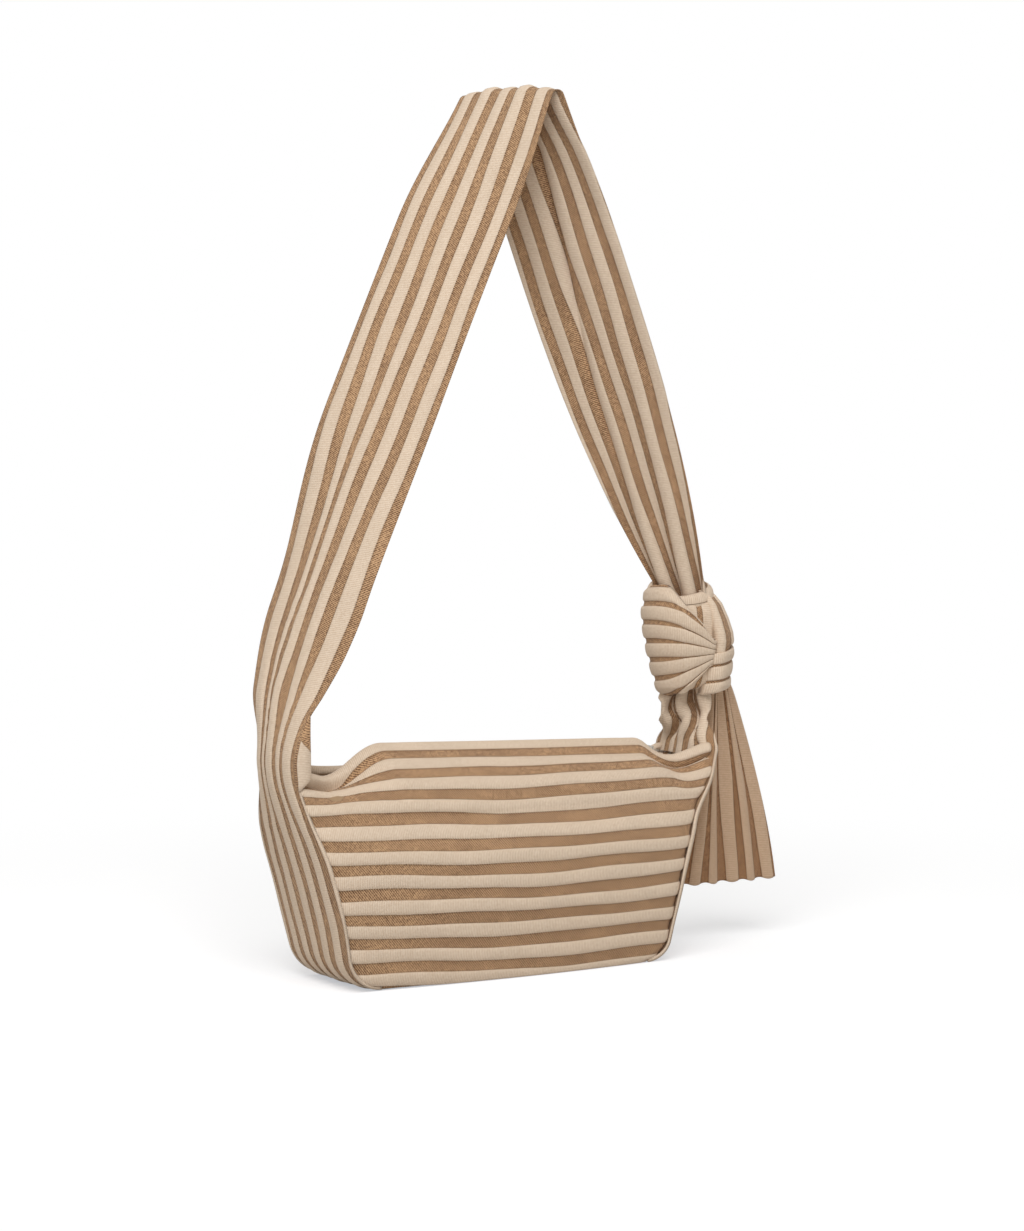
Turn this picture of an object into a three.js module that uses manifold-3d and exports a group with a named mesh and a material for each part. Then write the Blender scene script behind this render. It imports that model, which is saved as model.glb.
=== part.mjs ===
// A small zip-top shoulder bag of striped pleated knit, whose one wide strap is tied in a knot above
// its right end. Millimetres, +Z up, front towards -Y, origin at the middle of the flat base.
import * as THREE from 'three';
import { mergeVertices } from 'three/addons/utils/BufferGeometryUtils.js';
import Module from 'manifold-3d';

const wasm = await Module();
wasm.setup();

// Driving dimensions of the body
const BAG_HEIGHT = 122; // floor to the top of the side bands
const BASE_HALF = 104; // half width where the side lines would meet the floor
const TOP_HALF = 140; // half width at the top of the side bands
const FLARE_STRAIGHT = 0.5; // share of the sides' flare that runs straight, the rest curves outwards
const CORNER_RADIUS = 18; // round of the band where it turns under the base
const BASE_DEPTH = 68; // front to back at the floor
const MIDDLE_DEPTH = 76; // front to back at the fullest height
const TOP_DEPTH = 50; // front to back where the band becomes the strap
const FULL_HEIGHT = 45; // height at which the body has its full depth
const TAPER_HEIGHT = 70; // height at which the band starts to narrow
const PANEL_BULGE = 6; // how far a filled panel swells between its seams
const GUSSET_BULGE = 4; // the same for a side band
const FABRIC = 2; // thickness of a panel
const SEAM_GAP = 0.3; // clearance between pieces that are sewn or laid together
const LINING = 0.8; // thickness of the lining
const LINING_GAP = 0.7; // clearance between the lining and the outer fabric
const LINING_SHOULDER = 0.42; // share of the panels' rounding that the lining follows

// Driving dimensions of the mouth and its zip
const MOUTH_RISE = 7; // middle of the zip above the top of the side bands
const ZIP_END = 15; // ends of the zip tape inside the top of the side bands
const ZIP_RISE = 14; // height of the zip's arch over half its length
const SHOULDER_DROP = 24; // where the panels start to round over, below the top of the side bands
const MOUTH_GAP = 6.5; // folded panel edge to the zip's centre line
const MOUTH_END = 35; // length at each end over which the mouth opens
const RIM_SLOPE = 0.2; // fall of the folded edge over the tape
const RIM_END_DROP = 5; // rim's ends below the top of the side bands
const TAPE = 0.8; // thickness of the zip tape
const TAPE_OVERLAP = 2.6; // tape's width under the panel's folded edge
const TOOTH_PITCH = 3;
const TOOTH_LENGTH = 2.1; // across the zip
const TOOTH_BEAD = 0.9; // unbroken part of that length
const TOOTH_HEIGHT = 2.2;
const TEETH_SLIT = 1; // gap between the two rows
const TEETH_END = 8; // ends of a row of teeth from the ends of the tape
const STOP_LENGTH = 3; // metal stops at the ends of the teeth
const SLIDER_LENGTH = 9;
const SLIDER_WIDTH = 8;
const SLIDER_NECK = 6; // width of the slider's closed end
const SLIDER_PLATE = 1;
const SLIDER_POST = 0.5; // thickness of the wedge between the rows
const SLIDER_FLANGE = 0.6; // thickness of the plates' turned sides
const SLIDER_MOUTH = 0.4; // share of the half length at which those sides are full
const SLIDER_BITE = 0.2; // how far the slider's joined parts run into each other
const SLIDER_CLEARANCE = 0.4; // plates above and below the teeth
const BRIDGE_LENGTH = 8;
const BRIDGE_WIDTH = 2.4;
const BRIDGE_BAR = 1.1;
const BRIDGE_HOLE = 2.4; // height of the opening under the bridge
const PULLER_LENGTH = 20;
const PULLER_WIDTH = 6;
const PULLER_THICKNESS = 1.4;
const PULLER_WINDOW = 4.4; // length of the puller's window round the bridge
const PULLER_PLAY = 0.5; // window to the bridge's sides

// Driving dimensions of the strap, the knot and the loose tail
const STRAP_WIDTH = 70;
const STRAP_THICKNESS = 3;
const STRAP_RISE = 383.5; // top of the strap above the side bands
const APEX_X = 21.5;
const APEX_RADIUS = 6.5; // outer round of the fold at the top
const APEX_TURN = 18; // turn of the fold about the vertical, from front-to-back, in degrees
const APEX_SPAN = 85; // length beside the fold over which the legs turn to it
const ROOT_TURN = 21; // the same turn just above the left root
const ROOT_TURN_SPAN = [10, 50]; // heights along the left leg between which the root takes that turn
const LEG_TURN = 36.5; // the same for the flat of the strap's two legs
const LEG_TURN_SPAN = [108, 222]; // heights along the left leg between which it turns from root to leg
const LEFT_LEAN = 26.5; // left leg's lean from the vertical at the top, in degrees
const LEFT_HANDLE = 200; // length over which the left leg keeps that lean
const RIGHT_LEAN = 19.6; // right leg's lean from the vertical at the top, in degrees
const RIGHT_HANDLE = 100; // length over which the right leg keeps that lean
const ENTRY_GAP = 2.5; // room between the strap's gathered end and the knot's core
const ENTRY_LEAN = 22.2; // right leg's lean where it enters the knot, in degrees
const ENTRY_HANDLE = 100; // length over which the right leg keeps that lean
const ROOT_HANDLE = 25; // length over which the strap's root keeps the band's direction
const ROOT_LEAN = 12; // outward lean of the root, in degrees
const ROOT_CURL = 5.5; // how far the root's edges curl inwards
const ROOT_CURL_SPAN = [0, 30]; // heights along the left leg between which the edges curl
const ROOT_WIDTH_SPAN = [18, 98]; // heights between which the root spreads to the strap's full width
const ROOT_LENGTH = 52; // length of the soft root that bends when the strap falls over
const LEG_CUP = 2.5; // slight hollow across the strap
const LEG_CUP_SPAN = [118, 206]; // heights along the left leg between which the curl eases to that hollow
const KNOT_OUT = 2; // knot's middle outside the side band's top
const KNOT_RISE = 58; // knot's middle above the side bands
const KNOT_HALF_HEIGHT = 32;
const KNOT_RADIUS = 27;
const WRAP_THICKNESS = 6;
const KNOT_ROUND = 0.1; // share of the radius by which the wraps round in at their edges
const CORE_RECESS = 3; // knot's core below the wrap's edges
const CORE_ROUND = 0.16; // share of the core's radius by which it rounds in at its ends
const CORE_ROUNDS = 4; // steps of that rounding
const KNOT_FACING = -121; // compass direction that the knot's front faces, in degrees from +X
const PINCH_ANGLE = 38; // from the knot's front to the pinch where the wrap dives in
const BACK_OVERLAP_ANGLE = -160; // from the knot's front to the wrap's other end
const PINCH_HALF_HEIGHT = 7;
const FAN_ANGLE = 80; // from the pinch to where the wrap has its full height
const LOOP_GAP_ANGLE = 4; // between the ends of the wrap and of the side loop
const LOOP_HALF_HEIGHT = 28;
const KNOT_ENTRY_X = -3; // where the strap enters the knot, from its middle
const GATHER_LENGTH = 205; // length over which the strap gathers towards the knot
const GATHER_WIDTH = 26; // strap's width as it enters the knot
const GATHER_FOLD = 2.5; // depth of the gathers there
const GATHERS = 2.5; // waves across half the strap
const SHORT_TOP_WIDTH = 29; // width of the short strap as it enters the knot
const SHORT_FOLD = 4; // depth of its gathers
const TAIL_LENGTH = 116;
const TAIL_TOP_WIDTH = 18;
const TAIL_BOTTOM_WIDTH = 69;
const TAIL_TOP_X = 20; // tail's top from the knot's middle
const TAIL_TOP_Y = -8;
const TAIL_BOTTOM_X = 38; // tail's hem from the knot's middle
const TAIL_BOTTOM_Y = 10;
const TAIL_FOLD = 3.5; // depth of its hanging folds
const TAIL_FOLDS = 3;
const TAIL_FLATTENING = 0.85; // how far the folds have run their course at the hem
const TAIL_THICKNESS = 3;
const TAIL_PLAY = 0.9; // room for the tail to swing under the knot

// How finely the curved sheets are divided
const CORNER_STEPS = 4;
const SIDE_STEPS = 5;
const SHOULDER_STEPS = 5;
const PANEL_COLUMNS = 22;
const LINING_COLUMNS = 12;
const BAND_COLUMNS = 6;
const LEG_STEPS = 20;
const FOLD_STEPS = 6;
const STRAP_COLUMNS = 10;
const KNOT_COLUMNS = 18;
const KNOT_ROWS = 8;
const CORE_SIDES = 20;
const SHORT_COLUMNS = 14;
const SHORT_ROWS = 6;
const TAIL_COLUMNS = 18;
const TAIL_ROWS = 12;
const TAPE_STEPS = 24;

// Values that follow from the driving dimensions
const degrees = (angle) => THREE.MathUtils.degToRad(angle);
const mix = THREE.MathUtils.lerp;
const smooth = (t) => THREE.MathUtils.smoothstep(t, 0, 1);
const ramp = (value, [start, end]) => THREE.MathUtils.smoothstep(value, start, end);
const LEAN = Math.atan(((TOP_HALF - BASE_HALF) * FLARE_STRAIGHT) / BAG_HEIGHT);
const CORNER_X = sideHalf(CORNER_RADIUS * (1 - Math.sin(LEAN))) - CORNER_RADIUS * Math.cos(LEAN);
const SHOULDER_HEIGHT = BAG_HEIGHT - SHOULDER_DROP;
const ZIP_TOP = BAG_HEIGHT + MOUTH_RISE;
const ZIP_HALF = TOP_HALF - ZIP_END;
const TEETH_HALF = ZIP_HALF - TEETH_END;
const ZIP_RADIUS = (ZIP_HALF ** 2 + ZIP_RISE ** 2) / (2 * ZIP_RISE);
const PANEL_INSET = FABRIC + SEAM_GAP;
const RIM_LIFT = TAPE / 2 + SEAM_GAP + FABRIC + RIM_SLOPE * TAPE_OVERLAP;
const TAPE_INNER = TEETH_SLIT / 2 + TOOTH_LENGTH + SEAM_GAP;
const SLIDER_X = TEETH_HALF - SLIDER_LENGTH / 2;
const KNOT_X = TOP_HALF + KNOT_OUT;
const KNOT_Z = BAG_HEIGHT + KNOT_RISE;
const CORE_RADIUS = KNOT_RADIUS - WRAP_THICKNESS - SEAM_GAP;
const CORE_HALF_HEIGHT = KNOT_HALF_HEIGHT - CORE_RECESS;
const APEX_Z = BAG_HEIGHT + STRAP_RISE;

// Half width of the body's outline at a height, before the bottom corners are rounded
function sideHalf(z) {
  const share = z / BAG_HEIGHT;
  return BASE_HALF + (TOP_HALF - BASE_HALF) * (FLARE_STRAIGHT * share + (1 - FLARE_STRAIGHT) * share ** 2);
}

function sideSlope(z) {
  const slope = FLARE_STRAIGHT + (2 * (1 - FLARE_STRAIGHT) * z) / BAG_HEIGHT;
  return ((TOP_HALF - BASE_HALF) * slope) / BAG_HEIGHT;
}

// Half width at a height, with round corners, on an outline set in from the band's outer face
function halfWidth(z, inset) {
  const radius = CORNER_RADIUS - inset;
  if (z < CORNER_RADIUS - radius * Math.sin(LEAN)) {
    return CORNER_X + Math.sqrt(Math.max(0, radius ** 2 - (CORNER_RADIUS - z) ** 2));
  }
  return sideHalf(z) - inset * Math.hypot(1, sideSlope(z));
}

// Half depth of the side bands at a height
function halfDepth(z) {
  const rise = smooth(z / FULL_HEIGHT);
  const fall = smooth((z - TAPER_HEIGHT) / (BAG_HEIGHT - TAPER_HEIGHT));
  return (BASE_DEPTH + (MIDDLE_DEPTH - BASE_DEPTH) * rise - (MIDDLE_DEPTH - TOP_DEPTH) * fall) / 2;
}

function zipHeight(x) {
  return ZIP_TOP - ZIP_RADIUS + Math.sqrt(ZIP_RADIUS ** 2 - Math.min(Math.abs(x), ZIP_HALF) ** 2);
}

// How far the mouth has opened at a place along it: 0 where the zip closes it, 1 at its ends
function mouthOpening(x) {
  return smooth((Math.abs(x) - TOP_HALF) / MOUTH_END + 1);
}

// Heights along the side of the outline, from the floor up the round corner to a top
function outlineHeights(inset, top) {
  const radius = CORNER_RADIUS - inset;
  const heights = [];
  for (let i = 0; i <= CORNER_STEPS; i += 1) {
    heights.push(CORNER_RADIUS - radius * Math.cos((i / CORNER_STEPS) * (Math.PI / 2 - LEAN)));
  }
  const joint = heights[CORNER_STEPS];
  for (let i = 1; i <= SIDE_STEPS; i += 1) {
    heights.push(mix(joint, top, i / SIDE_STEPS));
  }
  return heights;
}

// Direction in which a list of points runs at one of them, on a parabola through it and its neighbours
function heading(points, k) {
  const last = points.length - 1;
  if (last < 2) return points[last].clone().sub(points[0]);
  const start = Math.min(Math.max(k - 1, 0), last - 2);
  const [a, b, c] = points.slice(start, start + 3);
  const first = a.distanceTo(b);
  const second = b.distanceTo(c);
  const slope = b.clone().sub(a).divideScalar(first);
  const bend = c.clone().sub(b).divideScalar(second).sub(slope).divideScalar(first + second);
  const reach = [-first, first, first + 2 * second][k - start];
  return slope.addScaledVector(bend, reach);
}

// Ways from a sheet's outer face to its inner one: square to the face, level, or straight down
function square(rows, i, j) {
  const along = heading(rows.map((row) => row[j]), i);
  return along.cross(heading(rows[i], j)).normalize();
}

function level(rows, i, j) {
  return square(rows, i, j).setZ(0).normalize();
}

// Square to the face, but level along the end that stands on another piece
function levelStart(rows, i, j) {
  return i === 0 ? level(rows, i, j) : square(rows, i, j);
}

function down() {
  return new THREE.Vector3(0, 0, -1);
}

// A closed sheet from rows of points on its outer face. The face's front is where the points' columns
// turn anticlockwise into their rows. Inward says which way its inner face lies from a point, and depth
// sets both faces back.
function sheet(rows, thickness, inward, depth = 0) {
  const last = rows.length - 1;
  const end = rows[0].length - 1;
  const outer = [];
  const inner = [];
  rows.forEach((row, i) => {
    row.forEach((point, j) => {
      const way = inward(rows, i, j);
      outer.push(point.clone().addScaledVector(way, depth));
      inner.push(point.clone().addScaledVector(way, depth + thickness));
    });
  });
  const columns = end + 1;
  const behind = outer.length;
  const index = [];
  const quad = (a, b, c, d) => index.push(a, b, c, a, c, d);
  for (let i = 0; i < last; i += 1) {
    for (let j = 0; j < end; j += 1) {
      const a = i * columns + j;
      quad(a, a + 1, a + columns + 1, a + columns);
      quad(behind + a, behind + a + columns, behind + a + columns + 1, behind + a + 1);
    }
  }
  const rim = (a, b) => quad(a, behind + a, behind + b, b);
  for (let j = 0; j < end; j += 1) {
    rim(j, j + 1);
    rim(last * columns + j + 1, last * columns + j);
  }
  for (let i = 0; i < last; i += 1) {
    rim((i + 1) * columns, i * columns);
    rim(i * columns + end, (i + 1) * columns + end);
  }
  const geometry = new THREE.BufferGeometry();
  const positions = [...outer, ...inner].flatMap((point) => point.toArray());
  geometry.setAttribute('position', new THREE.Float32BufferAttribute(positions, 3));
  geometry.setIndex(index);
  geometry.computeVertexNormals();
  return geometry;
}

// Joins closed solids into one
function union(geometries) {
  const solids = geometries.map((source) => {
    const geometry = source.clone();
    geometry.deleteAttribute('normal');
    geometry.deleteAttribute('uv');
    const merged = mergeVertices(geometry, 1e-4);
    const triVerts = Uint32Array.from(merged.index.array);
    const vertProperties = Float32Array.from(merged.attributes.position.array);
    return new wasm.Manifold(new wasm.Mesh({ numProp: 3, vertProperties, triVerts }));
  });
  const mesh = solids.reduce((joined, solid) => joined.add(solid)).getMesh();
  const geometry = new THREE.BufferGeometry();
  geometry.setAttribute('position', new THREE.BufferAttribute(mesh.vertProperties, 3));
  geometry.setIndex(new THREE.BufferAttribute(mesh.triVerts, 1));
  geometry.computeVertexNormals();
  return geometry;
}

// Front panel's face: a flat-bottomed flared outline that swells, then rounds over to the mouth. A lining
// has the same face, trimmed to a deeper inset. Each point keeps the angle at which the face lies back.
function panelRows(inset, shoulderEnd, count) {
  const shares = Array.from({ length: count + 1 }, (_, j) => (2 * j) / count - 1);
  const trimmed = (share, z) => (share * halfWidth(z, inset)) / halfWidth(z, PANEL_INSET);
  const swollen = (share, z) => {
    const lift = Math.sin((Math.PI * (z - PANEL_INSET)) / (BAG_HEIGHT - PANEL_INSET));
    return halfDepth(z) + PANEL_BULGE * (1 - share ** 2) * Math.max(0, lift);
  };
  const rows = outlineHeights(inset, SHOULDER_HEIGHT).map((z) =>
    shares.map((share) => {
      const place = new THREE.Vector3(share * halfWidth(z, inset), -swollen(trimmed(share, z), z), z);
      return Object.assign(place, { lie: 0 });
    }),
  );
  for (let i = 1; i <= SHOULDER_STEPS; i += 1) {
    const angle = (i / SHOULDER_STEPS) * shoulderEnd;
    rows.push(
      shares.map((share) => {
        const reach = trimmed(share, BAG_HEIGHT);
        const open = mouthOpening(reach * TOP_HALF);
        const top = mix(zipHeight(reach * TOP_HALF) + RIM_LIFT, BAG_HEIGHT - RIM_END_DROP, open ** 2);
        const z = mix(SHOULDER_HEIGHT, top, Math.sin(angle));
        const edge = mix(MOUTH_GAP, TOP_DEPTH / 2, open);
        const y = mix(edge, swollen(reach, mix(SHOULDER_HEIGHT, z, open)), Math.cos(angle));
        const place = new THREE.Vector3(share * halfWidth(z, inset), -y, z);
        return Object.assign(place, { lie: angle * (1 - open) });
      }),
    );
  }
  return rows;
}

function behindPanel(rows, i, j) {
  const { lie } = rows[i][j];
  return new THREE.Vector3(0, Math.cos(lie), -Math.sin(lie));
}

function panel() {
  return sheet(panelRows(PANEL_INSET, Math.PI / 2, PANEL_COLUMNS), FABRIC, behindPanel);
}

function panelLining() {
  const inset = FABRIC + LINING_GAP + LINING + SEAM_GAP;
  const rows = panelRows(inset, LINING_SHOULDER * (Math.PI / 2), LINING_COLUMNS);
  return sheet(rows, LINING, behindPanel, FABRIC + LINING_GAP);
}

// Way from the left side band's outer face to its inner one: square to the round corner, then levelling
// out to the top, where the strap's root sits on it
function behindBand(rows, i) {
  if (i <= CORNER_STEPS) {
    const angle = (i / CORNER_STEPS) * (Math.PI / 2 - LEAN);
    return new THREE.Vector3(Math.sin(angle), 0, Math.cos(angle));
  }
  const lean = LEAN * (1 - (i - CORNER_STEPS) / SIDE_STEPS);
  return new THREE.Vector3(Math.cos(lean), 0, Math.sin(lean));
}

// Left side band's face, from the end of the flat base round the corner to the strap's root
function gusset() {
  const heights = outlineHeights(0, BAG_HEIGHT);
  const rows = heights.map((z, i) => {
    const swell = GUSSET_BULGE * Math.sin((Math.PI * i) / (heights.length - 1));
    return Array.from({ length: BAND_COLUMNS + 1 }, (_, j) => {
      const share = 1 - (2 * j) / BAND_COLUMNS;
      return new THREE.Vector3(-halfWidth(z, 0) - swell * (1 - share ** 2), share * halfDepth(z), z);
    });
  });
  return sheet(rows, FABRIC, behindBand);
}

function base() {
  const geometry = new THREE.BoxGeometry(2 * (CORNER_X - SEAM_GAP), BASE_DEPTH, FABRIC);
  return geometry.translate(0, 0, FABRIC / 2);
}

// Lining of the side bands and base in one strip, from the top of one side to the top of the other
function bandLining() {
  const inset = FABRIC + LINING_GAP;
  const heights = outlineHeights(inset, SHOULDER_HEIGHT);
  const left = heights.map((z) => [-halfWidth(z, inset), z]).reverse();
  const right = heights.map((z) => [halfWidth(z, inset), z]);
  const rows = [...left, ...right].map(([x, z]) => {
    const half = halfDepth(z) - FABRIC - 2 * LINING_GAP;
    return [new THREE.Vector3(x, -half, z), new THREE.Vector3(x, half, z)];
  });
  return sheet(rows, LINING, square);
}

// Front zip tape, arched along the mouth and sewn under the panel's folded edge
function zipTape() {
  const rows = [MOUTH_GAP + TAPE_OVERLAP, TAPE_INNER].map((y) =>
    Array.from({ length: TAPE_STEPS + 1 }, (_, i) => {
      const x = mix(-ZIP_HALF, ZIP_HALF, i / TAPE_STEPS);
      return new THREE.Vector3(x, -y, zipHeight(x) + TAPE / 2);
    }),
  );
  return sheet(rows, TAPE, down);
}

// Front row of pointed zip teeth on its bead, a quarter pitch off centre, so that the rows stand staggered
function zipTeeth() {
  const root = TEETH_SLIT / 2 + TOOTH_LENGTH;
  const places = [[-TEETH_HALF, TOOTH_BEAD]];
  const count = Math.floor(TEETH_HALF / TOOTH_PITCH) - 1;
  for (let k = -count; k <= count; k += 1) {
    places.push([(k - 0.25) * TOOTH_PITCH, TOOTH_BEAD], [(k + 0.25) * TOOTH_PITCH, TOOTH_LENGTH]);
  }
  places.push([(count + 0.75) * TOOTH_PITCH, TOOTH_BEAD], [TEETH_HALF, TOOTH_BEAD]);
  const edge = (reach) =>
    places.map(([x, length]) => new THREE.Vector3(x, reach * length - root, zipHeight(x) + TOOTH_HEIGHT / 2));
  return sheet([edge(0), edge(1)], TOOTH_HEIGHT, down);
}

// Solid seen from above with the given outline, from one height to another
function plate(points, low, high) {
  const shape = new THREE.Shape(points.map(([x, y]) => new THREE.Vector2(x, y)));
  return new THREE.ExtrudeGeometry(shape, { depth: high - low, bevelEnabled: false }).translate(0, 0, low);
}

function block(x0, x1, y0, y1, z0, z1) {
  const geometry = new THREE.BoxGeometry(x1 - x0, y1 - y0, z1 - z0);
  return geometry.translate((x0 + x1) / 2, (y0 + y1) / 2, (z0 + z1) / 2);
}

// Height above the tape's middle of the slider's parts
const PLATE_LOW = TOOTH_HEIGHT / 2 + SLIDER_CLEARANCE;
const PLATE_HIGH = PLATE_LOW + SLIDER_PLATE;
const SLIDER_JOIN = PLATE_HIGH - SLIDER_BITE;
const PIVOT_HEIGHT = PLATE_HIGH + BRIDGE_HOLE / 2;

// Zip slider about its own middle: two plates with down-turned sides, the wedge and the puller's bridge
function slider() {
  const half = SLIDER_LENGTH / 2;
  const outline = [
    [-half, -SLIDER_NECK / 2],
    [half, -SLIDER_WIDTH / 2],
    [half, SLIDER_WIDTH / 2],
    [-half, SLIDER_NECK / 2],
  ];
  const flangeLow = TAPE / 2 + SLIDER_CLEARANCE;
  const parts = [
    plate(outline, PLATE_LOW, PLATE_HIGH),
    plate(outline, -PLATE_HIGH, -PLATE_LOW),
    block(-half / 2, half / 2, -SLIDER_POST / 2, SLIDER_POST / 2, -SLIDER_JOIN, SLIDER_JOIN),
  ];
  for (const side of [-1, 1]) {
    const wall = [
      [-half, (side * SLIDER_NECK) / 2],
      [half, (side * SLIDER_WIDTH) / 2],
      [half, side * (SLIDER_WIDTH / 2 - SLIDER_FLANGE)],
      [half * SLIDER_MOUTH, side * (SLIDER_WIDTH / 2 - SLIDER_FLANGE)],
    ];
    const ring = side > 0 ? wall.slice().reverse() : wall;
    parts.push(plate(ring, flangeLow, SLIDER_JOIN));
    parts.push(plate(ring, -SLIDER_JOIN, -flangeLow));
  }
  const legs = BRIDGE_LENGTH / 2;
  const top = PLATE_HIGH + BRIDGE_HOLE;
  const width = BRIDGE_WIDTH / 2;
  parts.push(block(-legs, -legs + BRIDGE_BAR, -width, width, SLIDER_JOIN, top + BRIDGE_BAR));
  parts.push(block(legs - BRIDGE_BAR, legs, -width, width, SLIDER_JOIN, top + BRIDGE_BAR));
  parts.push(block(-legs + SLIDER_BITE, legs - SLIDER_BITE, -width, width, top, top + BRIDGE_BAR));
  return union(parts);
}

// Zip puller about its pivot, lying towards +X: a tab with a window that the slider's bridge passes through
function puller() {
  const half = PULLER_WIDTH / 2;
  const bar = PULLER_THICKNESS / 2;
  const shape = new THREE.Shape();
  shape.moveTo(-bar, -half);
  shape.lineTo(PULLER_LENGTH - half, -half);
  shape.absarc(PULLER_LENGTH - half, 0, half, -Math.PI / 2, Math.PI / 2, false);
  shape.lineTo(-bar, half);
  shape.closePath();
  const gap = BRIDGE_WIDTH / 2 + PULLER_PLAY;
  const window = new THREE.Path();
  window.moveTo(bar, -gap);
  window.lineTo(bar, gap);
  window.lineTo(bar + PULLER_WINDOW, gap);
  window.lineTo(bar + PULLER_WINDOW, -gap);
  window.closePath();
  shape.holes.push(window);
  const settings = { depth: PULLER_THICKNESS, bevelEnabled: false, curveSegments: 8 };
  return new THREE.ExtrudeGeometry(shape, settings).translate(0, 0, -PULLER_THICKNESS / 2);
}

// Unit vector across the strap from its front edge to its back edge, turned about the vertical
function acrossStrap(turn) {
  return new THREE.Vector3(-Math.sin(degrees(turn)), Math.cos(degrees(turn)), 0);
}

// The strap's middle line with its width, turn and hollow, from the left root over the top to the knot
function strapStations() {
  const leftUp = new THREE.Vector3(Math.sin(degrees(LEFT_LEAN)), 0, Math.cos(degrees(LEFT_LEAN)));
  const knotTop = new THREE.Vector3(KNOT_X + KNOT_ENTRY_X, 0, KNOT_Z + CORE_HALF_HEIGHT + ENTRY_GAP);
  const apex = new THREE.Vector3(APEX_X, 0, APEX_Z - APEX_RADIUS);
  const rightDown = new THREE.Vector3(Math.sin(degrees(RIGHT_LEAN)), 0, -Math.cos(degrees(RIGHT_LEAN)));
  const entryUp = new THREE.Vector3(-Math.sin(degrees(ENTRY_LEAN)), 0, Math.cos(degrees(ENTRY_LEAN)));
  const leftOut = new THREE.Vector3(-leftUp.z, 0, leftUp.x);
  const rightOut = new THREE.Vector3(-rightDown.z, 0, rightDown.x);
  const leftTop = apex.clone().addScaledVector(leftOut, APEX_RADIUS);
  const rightTop = apex.clone().addScaledVector(rightOut, APEX_RADIUS);
  const root = new THREE.Vector3(-TOP_HALF, 0, BAG_HEIGHT + SEAM_GAP);
  const rootUp = new THREE.Vector3(-Math.sin(degrees(ROOT_LEAN)), 0, Math.cos(degrees(ROOT_LEAN)));
  const leftLeg = new THREE.CubicBezierCurve3(
    root,
    root.clone().addScaledVector(rootUp, ROOT_HANDLE),
    leftTop.clone().addScaledVector(leftUp, -LEFT_HANDLE),
    leftTop,
  );
  const rightLeg = new THREE.CubicBezierCurve3(
    rightTop,
    rightTop.clone().addScaledVector(rightDown, RIGHT_HANDLE),
    knotTop.clone().addScaledVector(entryUp, ENTRY_HANDLE),
    knotTop,
  );
  const stations = [];
  const leftLength = leftLeg.getLength();
  for (let i = 0; i <= LEG_STEPS; i += 1) {
    const share = i / LEG_STEPS;
    const height = share * leftLength;
    const legTurn = mix(ROOT_TURN * ramp(height, ROOT_TURN_SPAN), LEG_TURN, ramp(height, LEG_TURN_SPAN));
    const turn = mix(legTurn, APEX_TURN, smooth(1 - (leftLength - height) / APEX_SPAN));
    const half = mix(TOP_DEPTH, STRAP_WIDTH, ramp(height, ROOT_WIDTH_SPAN)) / 2;
    const curl = ROOT_CURL * ramp(height, ROOT_CURL_SPAN);
    const cup = mix(curl, LEG_CUP, ramp(height, LEG_CUP_SPAN));
    stations.push({ centre: leftLeg.getPointAt(share), turn, half, cup, fold: 0, height });
  }
  const startAngle = Math.atan2(leftOut.z, leftOut.x);
  const endAngle = Math.atan2(rightOut.z, rightOut.x);
  for (let i = 1; i < FOLD_STEPS; i += 1) {
    const angle = mix(startAngle, endAngle, i / FOLD_STEPS);
    const offset = new THREE.Vector3(Math.cos(angle), 0, Math.sin(angle)).multiplyScalar(APEX_RADIUS);
    const centre = apex.clone().add(offset);
    stations.push({ centre, turn: APEX_TURN, half: STRAP_WIDTH / 2, cup: LEG_CUP, fold: 0 });
  }
  const rightLength = rightLeg.getLength();
  for (let i = 0; i <= LEG_STEPS; i += 1) {
    const share = i / LEG_STEPS;
    const gather = Math.max(0, 1 - (1 - share) * (rightLength / GATHER_LENGTH)) ** 2;
    const half = mix(STRAP_WIDTH, GATHER_WIDTH, gather) / 2;
    const turn = mix(LEG_TURN, APEX_TURN, smooth(1 - (share * rightLength) / APEX_SPAN));
    const cup = LEG_CUP * (1 - gather);
    stations.push({ centre: rightLeg.getPointAt(share), turn, half, cup, fold: GATHER_FOLD * gather });
  }
  return stations;
}

// Points across the strap at each station: hollow in the middle, with gathers where it nears the knot
function strapRows(stations) {
  return stations.map((station, i) => {
    const before = stations[Math.max(i - 1, 0)].centre;
    const after = stations[Math.min(i + 1, stations.length - 1)].centre;
    const across = acrossStrap(station.turn);
    const outward = after.clone().sub(before).normalize().cross(across).normalize();
    return Array.from({ length: STRAP_COLUMNS + 1 }, (_, j) => {
      const share = 1 - (2 * j) / STRAP_COLUMNS;
      const lift = -station.cup * share ** 2 + station.fold * Math.sin(GATHERS * Math.PI * share);
      const point = station.centre.clone().addScaledVector(across, share * station.half);
      return point.addScaledVector(outward, lift);
    });
  });
}

// Compass direction in plan at an angle from the knot's front, anticlockwise from above
function knotDirection(angle) {
  const turn = degrees(KNOT_FACING + angle);
  return new THREE.Vector3(Math.cos(turn), Math.sin(turn), 0);
}

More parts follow.
